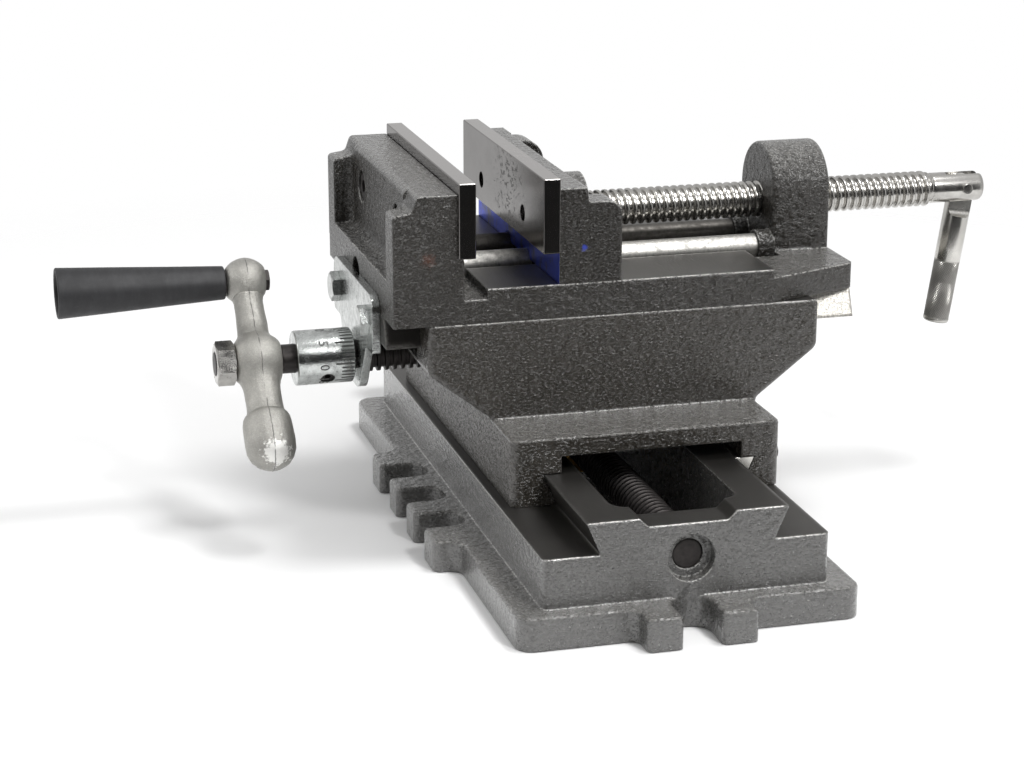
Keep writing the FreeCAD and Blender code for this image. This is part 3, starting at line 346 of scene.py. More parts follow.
@finish("Enamel on the vise body")
def body_enamel(tree):
    """Enamel painted darker than the saddle's, partly as painted shade on this high casting, milled iron on the
    ways, a rust spot, and a pale torn end of bare iron on the right of the dovetail, painted paler than bare
    iron, partly as painted light.
    """
    place = axes_of(tree)
    way = corners("moving_jaw_plate")[0][2] - WAY_BELOW_PLATE
    dovetail = between(tree, place["Z"], 0, corners("saddle")[1][2] + 0.05)
    ways = product(tree, between(tree, place["Z"], way - 0.3, way + 0.3), upward(tree))
    iron = add(tree, "Math", ways, dovetail, operation="ADD")
    # A darker copy of the enamel, partly painted shade on this high casting
    made = enamel(tree, iron, shade(colours().enamel, 0.66), 4.0, sheen=0.8)
    # The dovetail's right end is laid pale: bare iron with painted light on it
    torn = layered(tree, linear(PALE_LIT_END[0]), (linear(PALE_LIT_END[1]), grain(tree, 1.0, 3.0, 0.7), 0.35, 0.6))
    made["Base_Color"] = layered(
        tree, made["Base_Color"], (linear(RUST), spot_at(tree, RUST_SPOT, 5.0), 0.0, 1.0, 0.35),
        (torn, product(tree, between(tree, place["X"], 96, 200), dovetail)))
    return made


@finish("Enamel on the moving jaw")
def jaw_enamel(tree):
    """The darkest enamel, partly as painted shade on this high casting, with patchy layout dye on the milled face
    under the plate and one fleck beside it.
    """
    face = corners("moving_jaw")[0][0]
    front = product(tree, between(tree, axes_of(tree)["X"], face - 1, face + 0.3),
                    add(tree, "Math", axes_of(tree, "Normal")["X"], -0.9, operation="LESS_THAN"))
    # A darker copy of the enamel, partly painted shade on this high casting
    made = enamel(tree, front, shade(colours().enamel, 0.55), 3.0, sheen=0.68)
    dye = colours().marking_blue
    patchy = product(tree, front, add(tree, "MapRange", grain(tree, 9.0, 3.0, 0.6), 0.25, 0.5))
    made["Base_Color"] = layered(tree, made["Base_Color"], (dye, patchy),
                                 (dye, spot_at(tree, DYE_FLECK, 2.2), 0.0, 1.0, 0.6))
    return made


@finish("Ground tool steel")
def ground_steel(tree):
    """Hardened steel, surface ground along its length: fine straight lines, a soft mirror, faint stains and
    dull dark pitting in the middle of the jaw face. Faces that look up are painted lighter, as painted top light."""
    stain = grain(tree, 14.0, 4.0, 0.6)
    x, y, z = corners("moving_jaw_plate")[0]
    pits = add(tree, "MapRange", grain(tree, 2.4, 4.0, 0.75, (1.0, 0.5, 1.0)), 0.52, 0.6)
    pitted = product(tree, spot_at(tree, (x, PITS_PLACE[0], z + PITS_PLACE[1]), PITS_REACH), pits, 0.6)
    tone = layered(tree, colours().ground_steel, (0.8, stain, 0.42, 0.7, 0.5),
                   (0.3, grain(tree, 1.3, 3.0, 0.65), 0.66, 0.73, 0.8), (0.12, pitted),
                   # The last layer makes faces that look up lighter: painted top light
                   (1.7, upward(tree)))
    gloss = add(tree, "MapRange", stain, 0.35, 0.7, 0.13, 0.19)
    return dict(Base_Color=tone, Roughness=add(tree, "Mix", pitted, gloss, 0.6),
                Metallic=add(tree, "MapRange", pitted, 0.0, 1.0, 1.0, 0.2),
                Normal=bumped(tree, grain(tree, 0.3, 2.0, 0.6, (1.0, 0.02, 1.0)), 0.006, 0.4))


@finish("Bright zinc plate")
def bright_zinc(tree):
    """Bright zinc plating on a rolled thread: mirror-like, with slight clouding."""
    return metal(tree, colours().bright_zinc, grain(tree, 5.0, 3.0, 0.6), 0.35, 0.7, 0.72, 0.16, 0.3,
                 (grain(tree, 0.6), 0.03))


@finish("Dull zinc plate")
def dull_zinc(tree):
    """Zinc plating on pressed and turned steel: pale, mottled by handling, and dark and torn on sheared edges."""
    spots = grain(tree, 0.9, 3.0, 0.7)
    torn = product(tree, worn_edges(tree, 0.9), add(tree, "MapRange", spots, 0.44, 0.54))
    return metal(tree, colours().dull_zinc, grain(tree, 4.0, 4.0, 0.65), 0.38, 0.66, 0.66, 0.15, 0.3,
                 (spots, 0.12, 0.6, 0.4), (0.2, spots, 0.6, 0.7, 0.75), (0.16, torn, 0.0, 1.0, 0.7))


@finish("Turned steel")
def turned_steel(tree):
    """Bare turned steel: rings from the lathe round the piece's own X axis."""
    return metal(tree, colours().turned_steel, grain(tree, 8.0, 3.0, 0.6), 0.35, 0.75, 0.82, 0.2, 0.28,
                 (grain(tree, 0.4, 2.0, 0.6, (1.0, 0.02, 0.02)), 0.008))


@finish("Ground and oiled steel")
def ground_rod(tree):
    """Centreless-ground guide rod: bright and mottled by cutting oil; the far one is painted dark brown as painted
    shade under the screw.
    """
    mottle = grain(tree, 2.6, 4.0, 0.7)
    # The far rod, under the screw, is laid dark: painted shade
    far = add(tree, "Math", axes_of(tree)["Y"], 0.02, operation="GREATER_THAN")
    return metal(tree, colours().turned_steel, mottle, 0.36, 0.66, 0.55, 0.4, 0.6, (mottle, 0.12),
                 (linear(FAR_ROD_SHADE), far, 0.0, 1.0, 0.85))


@finish("Knurled steel")
def knurled_steel(tree):
    """Turned and knurled steel: bright with faint lathe rings, a little darker over the knurl and darker still in
    the knurl's grooves.
    """
    knurled = between(tree, axes_of(tree)["X"], KNURL_START, HANDLE_BOTTOM)
    deep = product(tree, add(tree, "MapRange", from_axis(tree), (HANDLE_RADIUS - 0.06) * MM,
                             (HANDLE_RADIUS - 0.3) * MM), knurled)
    made = metal(tree, colours().turned_steel, grain(tree, 9.0, 3.0, 0.6), 0.35, 0.75, 0.8, 0.18, 0.28,
                 (grain(tree, 0.5, 2.0, 0.6, (1.0, 0.02, 0.02)), 0.01), (0.6, knurled, 0.0, 1.0, 0.3),
                 (linear(GROOVE_DARK), deep, 0.0, 1.0, 0.5))
    made["Roughness"] = add(tree, "Mix", knurled, made["Roughness"], 0.33)
    return made


@finish("Black oxide steel")
def black_oxide(tree):
    """Oil-blackened steel: nearly black, with a brown cast and a low sheen where it was handled."""
    return metal(tree, colours().black_oxide, grain(tree, 3.0, 3.0, 0.6), 0.35, 0.7, 2.0, 0.34, 0.5,
                 (grain(tree, 0.5), 0.04), metallic=0.6)


@finish("Sand-cast aluminium")
def cast_aluminium(tree):
    """Sand-cast aluminium, left unpainted: matt and finely pitted, with a thin dark seam where the two
    halves of the mould met, and a filed patch on the counterweight."""
    pits = grain(tree, 0.8, 4.0, 0.75)
    wander = add(tree, "Math", grain(tree, 3.0, 3.0), 0.8 * MM, (HUB_PLACE - 0.4) * MM, operation="MULTIPLY_ADD")
    off = add(tree, "Math", axes_of(tree)["X"], wander, operation="SUBTRACT")
    seam = add(tree, "MapRange", add(tree, "Math", off, operation="ABSOLUTE"), 0.34 * MM, 0.16 * MM)
    seam = product(tree, seam, add(tree, "MapRange", grain(tree, 5.0, 3.0), 0.36, 0.5))
    return metal(tree, colours().aluminium, grain(tree, 9.0, 4.0, 0.65), 0.35, 0.7, 0.8, 0.3, 0.44,
                 (pits, 0.4, 0.8), (0.5, pits, 0.35, 0.65, 0.6), (1.5, pits, 0.62, 0.7),
                 (0.45, spot_at(tree, FILED_SPOT, 26.0), 0.0, 1.0, 0.3),
                 (linear(FILED), spot_at(tree, FILED_SPOT, 10.5), 0.25, 0.55), (0.16, seam, 0.0, 1.0, 0.85),
                 metallic=add(tree, "MapRange", seam, 0.0, 1.0, 0.7, 0.0))


@finish("Matt moulded plastic")
def black_plastic(tree):
    """Moulded polypropylene with a spark-eroded texture: matt, grey with scuffs and fine dust, and nearly black deep
    inside the hollow end as painted shade.
    """
    scuff = grain(tree, 6.0, 5.0, 0.75, (1.0, 0.5, 0.5))
    # Deep inside the grip's hollow end the colour is laid nearly black: painted shade
    within = add(tree, "Math", from_axis(tree, ARM), (GRIP_HOLLOW + 0.05) * MM, operation="LESS_THAN")
    outer_end = (GRIP_START + GRIP_LENGTH - 20) * MM
    shaded_hollow = product(tree, within, add(tree, "Math", axes_of(tree)["X"], outer_end, operation="GREATER_THAN"))
    tone = layered(tree, colours().plastic, (2.0, scuff, 0.45, 0.75, 0.6),
                   (4.5, grain(tree, 1.6, 4.0, 0.7, (0.25, 1.0, 1.0)), 0.68, 0.74, 0.7),
                   (3.6, worn_edges(tree, 0.9), 0.0, 1.0, 0.6), (0.06, shaded_hollow))
    return dict(Base_Color=tone, Roughness=add(tree, "MapRange", scuff, 0.3, 0.7, 0.62, 0.5), IOR=1.49,
                Normal=bumped(tree, grain(tree, 0.5, 2.0, 0.6), 0.07))


@finish("Machined bronze")
def cast_bronze(tree):
    """Cast bronze, turned and bored: warm and slightly oily."""
    return metal(tree, colours().bronze, grain(tree, 5.0, 3.0, 0.6), 0.35, 0.7, 0.65, 0.3, 0.45,
                 (grain(tree, 0.6), 0.04))


@finish("Stamped numbers")
def number_fill(tree):
    """Dirt and oil held in stamped numbers: dark and dull, a little uneven."""
    cloud = grain(tree, 0.8, 2.0, 0.6)
    return dict(Base_Color=layered(tree, colours().numbers, (1.9, cloud, 0.4, 0.7)), Roughness=0.7)


# Shapes in millimetres: a shape is a list of points and a list of faces

def joined(*shapes):
    points, faces = [], []
    for some, sides in shapes:
        start = len(points)
        points += list(some)
        faces += [[start + i for i in side] for side in sides]
    return points, faces


def moved(shape, matrix):
    return [matrix @ Vector(p) for p in shape[0]], shape[1]


def shift(x, y, z):
    return Matrix.Translation((x, y, z))


def spin(degrees, axis):
    return Matrix.Rotation(radians(degrees), 4, axis)


def eased(corners, parts=4):
    """A line through corners given as (x, radius, rounding), with each rounding drawn as a short curve."""
    line = []
    for i, (x, radius, easing) in enumerate(corners):
        here = Vector((x, radius))
        if easing == 0 or i in (0, len(corners) - 1):
            line.append(here)
            continue
        back, ahead = [here + (Vector(corners[j][:2]) - here).normalized() * easing for j in (i - 1, i + 1)]
        for k in range(parts + 1):
            t = k / parts
            line.append(back * (1 - t) ** 2 + here * 2 * t * (1 - t) + ahead * t * t)
    return [(p.x, p.y) for p in line]


def ring(x, radius, k, steps):
    """Step k of a circle about X."""
    turn = 2 * pi * k / steps
    return x, radius * sin(turn), radius * cos(turn)


def skin(rows, steps, point):
    """An open tube of rows by steps; point(row, step) places each corner."""
    points = [point(i, k) for i in range(rows) for k in range(steps)]
    faces = [[i * steps + k, i * steps + (k + 1) % steps, (i + 1) * steps + (k + 1) % steps, (i + 1) * steps + k]
             for i in range(rows - 1) for k in range(steps)]
    return points, faces


def lathe(line, steps=64):
    """A skin turned about X from (x, radius) points; where the radius is 0, the mesh's weld closes an end."""
    return skin(len(line), steps, lambda i, k: ring(*line[i], k, steps))


def bored(rows, steps, point, bore, low, high):
    """A skin with a straight bore from low to high and a flat rim at each end."""
    def corner(i, k):
        i %= rows + 2
        return point(i, k) if i < rows else ring((high, low)[i - rows], bore, k, steps)
    return skin(rows + 3, steps, corner)


# Each thread form is a line of (share of the pitch, share of the depth)
ROUNDED_THREAD = [(0.0, 0.0), (0.13, 0.0), (0.21, 0.35), (0.28, 0.8), (0.36, 0.97), (0.5, 1.0), (0.64, 0.97),
                  (0.72, 0.8), (0.79, 0.35), (0.87, 0.0)]
SQUARE_THREAD = [(0.0, 0.0), (0.2, 0.0), (0.28, 0.9), (0.32, 1.0), (0.68, 1.0), (0.72, 0.9), (0.8, 0.0)]
SHARP_THREAD = [(0.0, 0.0), (0.4, 0.9), (0.5, 1.0), (0.6, 0.9)]


def thread(start, end, crest, root, pitch, form, steps=48):
    """A right-handed thread along X between two plain ends of the root's radius."""
    rows = (int(ceil((end - start) / pitch)) + 1) * len(form)
    points, faces = [], []
    for i in range(rows + len(form)):
        turn, k = divmod(i, len(form))
        share, height = form[k]
        for s in range(steps):
            x = min(max(start + pitch * (turn - 1 + share + s / steps), start), end)
            fade = max(0.0, min(1.0, (x - start) / (0.6 * pitch), (end - x) / (0.6 * pitch)))
            points.append(ring(x, root + (crest - root) * height * fade, -s, steps))
    for i in range(rows - 1):
        for s in range(steps):
            far = i * steps + s + 1 if s < steps - 1 else (i + len(form)) * steps
            faces.append([i * steps + s, far, far + steps, (i + 1) * steps + s])
    return points, faces


def smoothed(mesh, edge_angle):
    """The mesh shaded smooth, but for edges sharper than the angle."""
    mesh.shade_smooth()
    mesh.set_sharp_from_angle(angle=radians(edge_angle))
    return mesh


def mesh_of(name, shape, edge_angle=35.0, weld=0.002):
    """A clean mesh in metres from a shape in millimetres."""
    made = bpy.data.meshes.new(name)
    made.from_pydata([Vector(p) for p in shape[0]], [], shape[1])
    work = bmesh.new()
    work.from_mesh(made)
    bmesh.ops.remove_doubles(work, verts=work.verts, dist=weld)
    bmesh.ops.dissolve_degenerate(work, edges=work.edges, dist=weld)
    bmesh.ops.delete(work, geom=[v for v in work.verts if not v.link_faces], context="VERTS")
    bmesh.ops.recalc_face_normals(work, faces=work.faces)
    bmesh.ops.scale(work, vec=(MM, MM, MM), verts=work.verts)
    work.to_mesh(made)
    work.free()
    return smoothed(made, edge_angle)


def linked(name, data):
    """A new object in the scene."""
    made = bpy.data.objects.new(name, data)
    bpy.context.scene.collection.objects.link(made)
    return made


def carved(name, shape, cutters, edge_angle=35.0, operations=None):
    """A mesh of the shape after each cutter is taken away from it, or does what operations says."""
    blank, *tools = [linked(name + " blank", mesh_of(name + " blank", part)) for part in [shape] + cutters]
    for tool, operation in zip(tools, operations or ["DIFFERENCE"] * len(tools)):
        put(blank.modifiers.new("Cut", "BOOLEAN"), operation=operation, solver="EXACT", object=tool)
    bpy.context.view_layer.update()
    result = bpy.data.meshes.new_from_object(blank.evaluated_get(bpy.context.evaluated_depsgraph_get()))
    result.name = name
    for thing in [blank] + tools:
        bpy.data.objects.remove(thing)
    return smoothed(result, edge_angle)


def place_piece(name, shape, material, body, nodes=(), place=None, edge_angle=35.0):
    """A named piece that rides on its body; a shape in millimetres is turned into a mesh first."""
    mesh = mesh_of(name, shape, edge_angle) if isinstance(shape, tuple) else shape
    mesh.materials.clear()
    mesh.materials.append(material)
    made = linked(name, mesh)
    if place is not None:
        made.matrix_world = place
    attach(made, body)
    if nodes:
        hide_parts(*nodes)
    return made


def at(x, y, z):
    return Matrix.Translation(Vector((x, y, z)) * MM)


def block(low, high):
    """A plain box between two corners, for cutting."""
    points = [(x, y, z) for x in (low[0], high[0]) for y in (low[1], high[1]) for z in (low[2], high[2])]
    return points, [[0, 1, 3, 2], [4, 6, 7, 5], [0, 4, 5, 1], [2, 3, 7, 6], [0, 2, 6, 4], [1, 5, 7, 3]]


def rod(radius, start, end, steps=48):
    return lathe([(start, 0), (start, radius), (end, radius), (end, 0)], steps)


def flat_reach(half, k, steps):
    """How far the side of a hexagon lies from its axis at step k, with its flats at half."""
    return half / cos(2 * pi * k / steps % (pi / 3) - pi / 6)


def hexagon(across, low, high, bore=0.0, chamfer_low=True, steps=96):
    """A hexagon bar along X with the round chamfers that turning leaves, bored or solid."""
    half = across / 2
    face = half * 0.97
    def point(i, k):
        wide = flat_reach(half, k, steps)
        drop = (wide - face) * tan(radians(28))
        foot = [(low, face), (low + drop, wide)] if chamfer_low else [(low, wide), (low, wide)]
        rows = foot + [(high - drop, wide), (high, face), (high, 0), (low, 0)]
        return ring(*rows[i], k, steps)
    return bored(4, steps, point, bore, low, high) if bore else skin(6, steps, lambda i, k: point(i - 1, k))


def soften(nodes, edge_mm, parts, material, angle=38.0):
    """Carried-over nodes keep their solids' shape: their edges are rounded and they get their own finish."""
    for node in nodes:
        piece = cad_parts[node]
        put(piece.modifiers.new("Weld", "WELD"), merge_threshold=0.00001)
        put(piece.modifiers.new("Flatten", "DECIMATE"), decimate_type="DISSOLVE", angle_limit=radians(0.4))
        put(piece.modifiers.new("Edges", "BEVEL"), width=edge_mm * MM, segments=parts, limit_method="ANGLE",
            angle_limit=radians(angle), use_clamp_overlap=True, miter_outer="MITER_ARC")
        put(piece.modifiers.new("Even shading", "WEIGHTED_NORMAL"), keep_sharp=False)
        piece.data.materials.clear()
        piece.data.materials.append(material())


# Castings, jaw plates and gibs

def dress_castings():
    edge = sizes().casting_edge / MM
    for node, share, material in (("base", 1.0, base_enamel), ("saddle", 1.0, saddle_enamel),
                                  ("vise_body", 0.8, body_enamel), ("moving_jaw", 0.8, jaw_enamel)):
        soften([node], edge * share, 3, material)


def dress_plates():
    fine = sizes().fine_edge / MM
    soften(["fixed_jaw_plate", "moving_jaw_plate"], fine * 0.6, 2, ground_steel, 30)
    soften(["fixed_jaw_screws", "moving_jaw_screws"], fine, 2, black_oxide)
    soften(["screw_keeper_pins", "x_gib", "y_gib"], fine, 2, turned_steel)
    soften(["x_nut", "y_nut"], fine, 2, cast_bronze)
    soften(["x_nut_screws", "y_nut_screws"], fine * 0.5, 2, black_oxide)
    soften(["x_bracket", "y_bracket"], fine * 1.6, 3, dull_zinc, 50)
    soften(["x_grip_bolt", "y_grip_bolt"], fine * 0.6, 2, dull_zinc)


# Guide rods

def make_guide_rods():
    (start, near, low), (end, far, high) = corners("guide_rods")
    radius = (high - low) / 2
    line = eased([(start, 0, 0), (start, radius, 1.0), (end, radius, 1.0), (end, 0, 0)])
    bars = [moved(lathe(line, 72), shift(0, side, 0)) for side in (near + radius, far - radius)]
    place_piece("guide_rods_ground", joined(*bars), ground_rod(), "vise_body", ["guide_rods"],
                at(0, 0, (low + high) / 2))


# Vise screw, its pin and the folding handle

SCREW_START = 5.4
SCREW_END = 188.0
SCREW_RADIUS = 9.0
JOURNAL_RADIUS = 7.0
KEEPER_GROOVE = (-10.6, -5.2, 4.9)
PLAIN_RADIUS = 7.7
FORK_LENGTH = 19.7
FORK_SLOT = 6.4
PIN_RADIUS = 2.6
RIVET_HEAD = 2.9
PIN_FROM_END = 9.8
HANDLE_LEAN = 8.5
HANDLE_RADIUS = 6.65
HANDLE_BOTTOM = 71.5
KNURL_START = 38.5
TANG = 6.0
TANG_REACH = 11.5
MILLED_CORNER = 3.6


def screw_axis():
    """The vise screw's two ends along X, and its axis' Y and Z."""
    (tip, y0, z0), (end, y1, z1) = corners("vise_screw")
    return tip, end, (y0 + y1) / 2, (z0 + z1) / 2


def make_vise_screw():
    tip, end, y, z = screw_axis()
    root = SCREW_RADIUS - sizes().thread_depth / MM
    left, right, groove = KEEPER_GROOVE
    front = [(tip, 0, 0), (tip, JOURNAL_RADIUS, 1.5), (left, JOURNAL_RADIUS, 0), (left, groove, 0),
             (right, groove, 0), (right, JOURNAL_RADIUS, 0), (SCREW_START, JOURNAL_RADIUS, 0),
             (SCREW_START, root, 0)]
    back = [(SCREW_END, root, 0), (SCREW_END + 0.8, PLAIN_RADIUS, 0.4), (end, PLAIN_RADIUS, 3.0), (end, 0, 0)]
    shape = joined(lathe(eased(front)), thread(SCREW_START, SCREW_END, SCREW_RADIUS, root,
                                               sizes().screw_pitch / MM, ROUNDED_THREAD, 64),
                   lathe(eased(back, 6)))
    half = FORK_SLOT / 2
    slot = block((end - FORK_LENGTH, -half, -20), (end + 1, half, 20))
    hole = moved(rod(PIN_RADIUS + 0.05, -20, 20), shift(end - PIN_FROM_END, 0, 0) @ spin(90, "Z"))
    place_piece("vise_screw_threaded", carved("vise_screw_threaded", shape, [slot, hole], 40),
                bright_zinc(), "vise_screw", ["vise_screw"], at(0, y, z))
    reach = PLAIN_RADIUS
    line = [(-reach - 0.5, 0, 0), (-reach - 0.5, RIVET_HEAD, 0.45), (-reach, RIVET_HEAD, 0), (-reach, PIN_RADIUS, 0)]
    line += [(-x, radius, easing) for x, radius, easing in reversed(line)]
    place_piece("handle_rivet", lathe(eased(line), 40), bright_zinc(), "vise_screw", ["handle_pin"],
                at(end - PIN_FROM_END, y, z) @ spin(90, "Z"))


def make_handle():
    tip, end, y, z = screw_axis()
    pitch = sizes().knurl_pitch / MM
    depth = sizes().knurl_depth / MM
    ridges = int(2 * pi * HANDLE_RADIUS / pitch)
    steps = ridges * 4
    knurl_end = HANDLE_BOTTOM - 1.6
    rows = int((knurl_end - KNURL_START) / pitch * 4)
    def knurl(i, k):
        x = KNURL_START + (knurl_end - KNURL_START) * i / (rows - 1)
        along = (x - KNURL_START) / pitch
        round_it = ridges * k / steps
        ridge = max(abs((along + way * round_it) % 1.0 - 0.5) * 2 for way in (1, -1))
        fade = min(1.0, i / 3.0, (rows - 1 - i) / 3.0)
        return ring(x, HANDLE_RADIUS - depth * fade * min(1.0, ridge * 1.1), k, steps)
    upper = lathe([(0, 0), (0, HANDLE_RADIUS), (TANG_REACH + 8, HANDLE_RADIUS), (KNURL_START, HANDLE_RADIUS)], steps)
    lower = lathe(eased([(knurl_end, HANDLE_RADIUS, 0), (HANDLE_BOTTOM, HANDLE_RADIUS, 1.5),
                         (HANDLE_BOTTOM, 0, 0)], 6), steps)
    half = TANG / 2
    tools = []
    for side in (-1, 1):
        y0, y1 = sorted([side * half, side * 9])
        milled = shift(TANG_REACH, side * (half + MILLED_CORNER), 0) @ spin(90, "Y")
        tools += [block((-9, y0, -9), (TANG_REACH, y1, 9)), moved(rod(MILLED_CORNER, -9, 9, 64), milled)]
    tools += [moved(rod(HANDLE_RADIUS, -half, half, 96), spin(90, "Z")),
              moved(rod(PIN_RADIUS + 0.08, -20, 20), spin(90, "Z"))]
    mesh = carved("folding_handle", joined(upper, skin(rows, steps, knurl), lower), tools, 30,
                  ["DIFFERENCE"] * 4 + ["UNION", "DIFFERENCE"])
    place_piece("folding_handle", mesh, knurled_steel(), "handle", ["handle"],
                at(end - PIN_FROM_END, y, z) @ spin(90 + HANDLE_LEAN, "Y"))


# Lead screws, dials, cranks and grips: X runs outward from the bracket's outer face

BRACKET = 4.0
LEAD_RADIUS = 9.0
LEAD_JOURNAL = 7.1
LEAD_END = 6.0
REAR_JOURNAL = {"x": 0.0, "y": 11.5}
HUB_PLACE = 47.2
HUB_WIDTH = 22.6
HUB_RADIUS = 14.2
NUT_HEIGHT = 9.3
NUT_FLATS = 19.0
ARM = 44.4
BALL_RADIUS = 11.6
BALL_WIDTH = 20.0
DIAL = (1.4, 29.6, 13.4)
SET_SCREW = (14.8, 130.0, 3.4)
CRANK_TURN = {"x": 44.0, "y": 96.0}
FILED_SPOT = (46.0, 8.6, -54.0)
NUT_TURN = 20.5
GRIP_START = HUB_PLACE + BALL_WIDTH / 2 + 0.3
GRIP_LENGTH = 81.5
GRIP_BORE = 3.08
GRIP_HOLLOW = 10.4
DIGIT_SIZE = 1.35
DIGIT_FOOT = 17.4


def shaft_place(axis, turn=0.0):
    """Where a piece of one feed set stands, turned about its shaft."""
    spot = [(low + high) / 2 for low, high in zip(*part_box(axis + "_lead_screw"))]
    if axis == "x":
        spot[0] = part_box("x_bracket")[0].x
    else:
        spot[1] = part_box("y_bracket")[1].y
    return shift(*spot) @ spin(180 if axis == "x" else 90, "Z") @ spin(turn, "X")


def on_shaft(axis, name, node, shape, material, turn=0.0, edge_angle=35.0, body="_screw"):
    """A piece of one feed set, placed on its shaft; it takes the place of the node, if one is named."""
    return place_piece(axis + name, shape, material, axis + body, [axis + node] if node else (),
                       shaft_place(axis, turn), edge_angle)


def make_lead_screws():
    root = LEAD_RADIUS - sizes().thread_depth / MM
    inner = -BRACKET - 0.4
    seat = HUB_PLACE - HUB_WIDTH / 2
    tip = HUB_PLACE + HUB_WIDTH / 2 + NUT_HEIGHT + 0.4
    back = [(inner, root, 0), (inner, LEAD_JOURNAL, 0), (seat, LEAD_JOURNAL, 0.4), (seat, LEAD_END, 0),
            (tip, LEAD_END, 1.0), (tip, 0, 0)]
    for along, axis in enumerate("xy"):
        low, high = corners(axis + "_lead_screw")
        journal = REAR_JOURNAL[axis]
        far = tip - (high[along] - low[along]) + journal
        front = [(far - journal, 0, 0), (far, root, 0)]
        if journal:
            front[1:1] = [(far - journal, LEAD_JOURNAL, 1.0), (far, LEAD_JOURNAL, 0)]
        turns = thread(far, inner, LEAD_RADIUS, root, sizes().lead_pitch / MM, SQUARE_THREAD, 40)
        shape = joined(lathe(eased(front), 40), turns, lathe(eased(back), 40))
        on_shaft(axis, "_lead_screw_threaded", "_lead_screw", shape, black_oxide(), 0, 40)


def dial_shape():
    """The dial's ring, with a groove pressed in for each graduation."""
    start, end, radius = DIAL
    count = sizes().divisions
    depth = sizes().mark_depth / MM
    parts = 8
    steps = count * parts
    rows = [(start, 0.8), (start + 0.5, 0.15), (start + 1.0, 0.0), (start + 6.4, 0.0), (start + 6.7, 0.0),
            (start + 9.4, 0.0), (start + 9.7, 0.0), (end - 1.0, 0.0), (end - 0.45, 0.12), (end - 0.12, 0.5),
            (end, 1.0)]
    def point(i, k):
        division, part = divmod(k, parts)
        x, drop = rows[i]
        reach = 5 if division % 5 == 0 else 3
        groove = depth if part in (1, 2, 3) and 1 <= i <= reach else 0.0
        squeeze = {0: 0.35, 1: -0.2, 3: 0.2, 4: -0.35}.get(part, 0.0)
        return ring(x, radius - drop - groove, k + squeeze, steps)
    return bored(len(rows), steps, point, LEAD_JOURNAL + 0.05, start, end)


def number_shape(text, turn):
    """A number laid round the dial, its foot towards the crank."""
    start, end, radius = DIAL
    curve = put(bpy.data.curves.new("number", "FONT"), body=text, size=sizes().number_height / MM * DIGIT_SIZE,
                align_x="CENTER", extrude=0.08, offset=0.05, resolution_u=3)
    letter = linked("number", curve)
    mesh = bpy.data.meshes.new_from_object(letter)
    points = []
    for vertex in mesh.vertices:
        round_it = turn + vertex.co.x / radius
        out = radius + 0.02 + vertex.co.z * 0.5
        points.append((start + DIGIT_FOOT - vertex.co.y, out * sin(round_it), out * cos(round_it)))
    faces = [list(p.vertices) for p in mesh.polygons]
    bpy.data.objects.remove(letter)
    bpy.data.meshes.remove(mesh)
    bpy.data.curves.remove(curve)
    return points, faces


def fill_marks(piece):
    """Give the floors of a dial's graduations their own dark finish."""
    start, end, radius = DIAL
    piece.data.materials.append(number_fill())
    deep = (radius - sizes().mark_depth / MM * 0.5) * MM
    for face in piece.data.polygons:
        x, y, z = face.center
        if (start + 0.6) * MM < x < (start + 9.7) * MM and (radius - 0.8) * MM < hypot(y, z) < deep:
            face.material_index = 1


def make_dials():
    x, tilt, radius = SET_SCREW
    seat = shift(x, 0, 0) @ spin(-tilt, "X") @ spin(-90, "Y")
    hole = moved(rod(radius + 0.05, LEAD_JOURNAL - 1, 16, 40), seat)
    blank = moved(rod(radius, LEAD_JOURNAL, LEAD_JOURNAL + 5.0, 40), seat)
    key = moved(hexagon(3.0, 1.0, 9.0), seat @ shift(LEAD_JOURNAL + 1.5, 0, 0))
    count = sizes().divisions
    numbers = joined(*[number_shape(str(n), 2 * pi * (n + 0.2) / count) for n in range(0, count, 5)])
    for axis in "xy":
        dial = carved(axis + "_dial_graduated", dial_shape(), [hole], 30)
        fill_marks(on_shaft(axis, "_dial_graduated", "_dial", dial, dull_zinc()))
        on_shaft(axis, "_set_screw", "_dial_set_screw", carved(axis + "_set_screw", blank, [key]),
                 black_oxide())
        on_shaft(axis, "_dial_numbers", None, numbers, number_fill(), 0, 60)


# The crank's outline along its arm as (place, radius): counterweight, root and, past the hub's sphere, the neck
CRANK_LINE = [(-58.0, 0.0), (-57.7, 2.6), (-56.8, 5.4), (-54.9, 8.3), (-52.2, 10.5), (-48.4, 11.9), (-44.0, 12.2),
              (-38.0, 12.0), (-34.4, 11.7), (-31.8, 11.2), (-30.2, 10.3), (-29.4, 9.4), (-29.0, 9.15), (-28.5, 9.2),
              (-28.1, 8.95), (-24.0, 8.8), (-17.0, 8.8), (-13.6, 9.0), (-13.1, 9.3), (-12.7, 9.3), (-12.2, 9.5)]
NECK_LINE = [(12.0, 8.6), (12.4, 8.2), (12.9, 8.2), (13.3, 7.75), (20.0, 7.45), (27.0, 7.2), (33.6, 7.2),
             (34.0, 7.55), (34.5, 7.6), (34.9, 7.3), (35.2, 7.6)]
# Lumps that the sand left: where, how wide and how high
CRANK_LUMPS = [((-3.5, -6.5, 17.0), 1.6, 0.5), ((4.5, -6.0, 21.0), 1.3, 0.5), ((5.0, 6.5, 36.0), 1.5, 0.45),
               ((3.0, -8.5, -20.0), 1.8, 0.4), ((-6.0, -3.0, 30.0), 1.2, 0.35)]


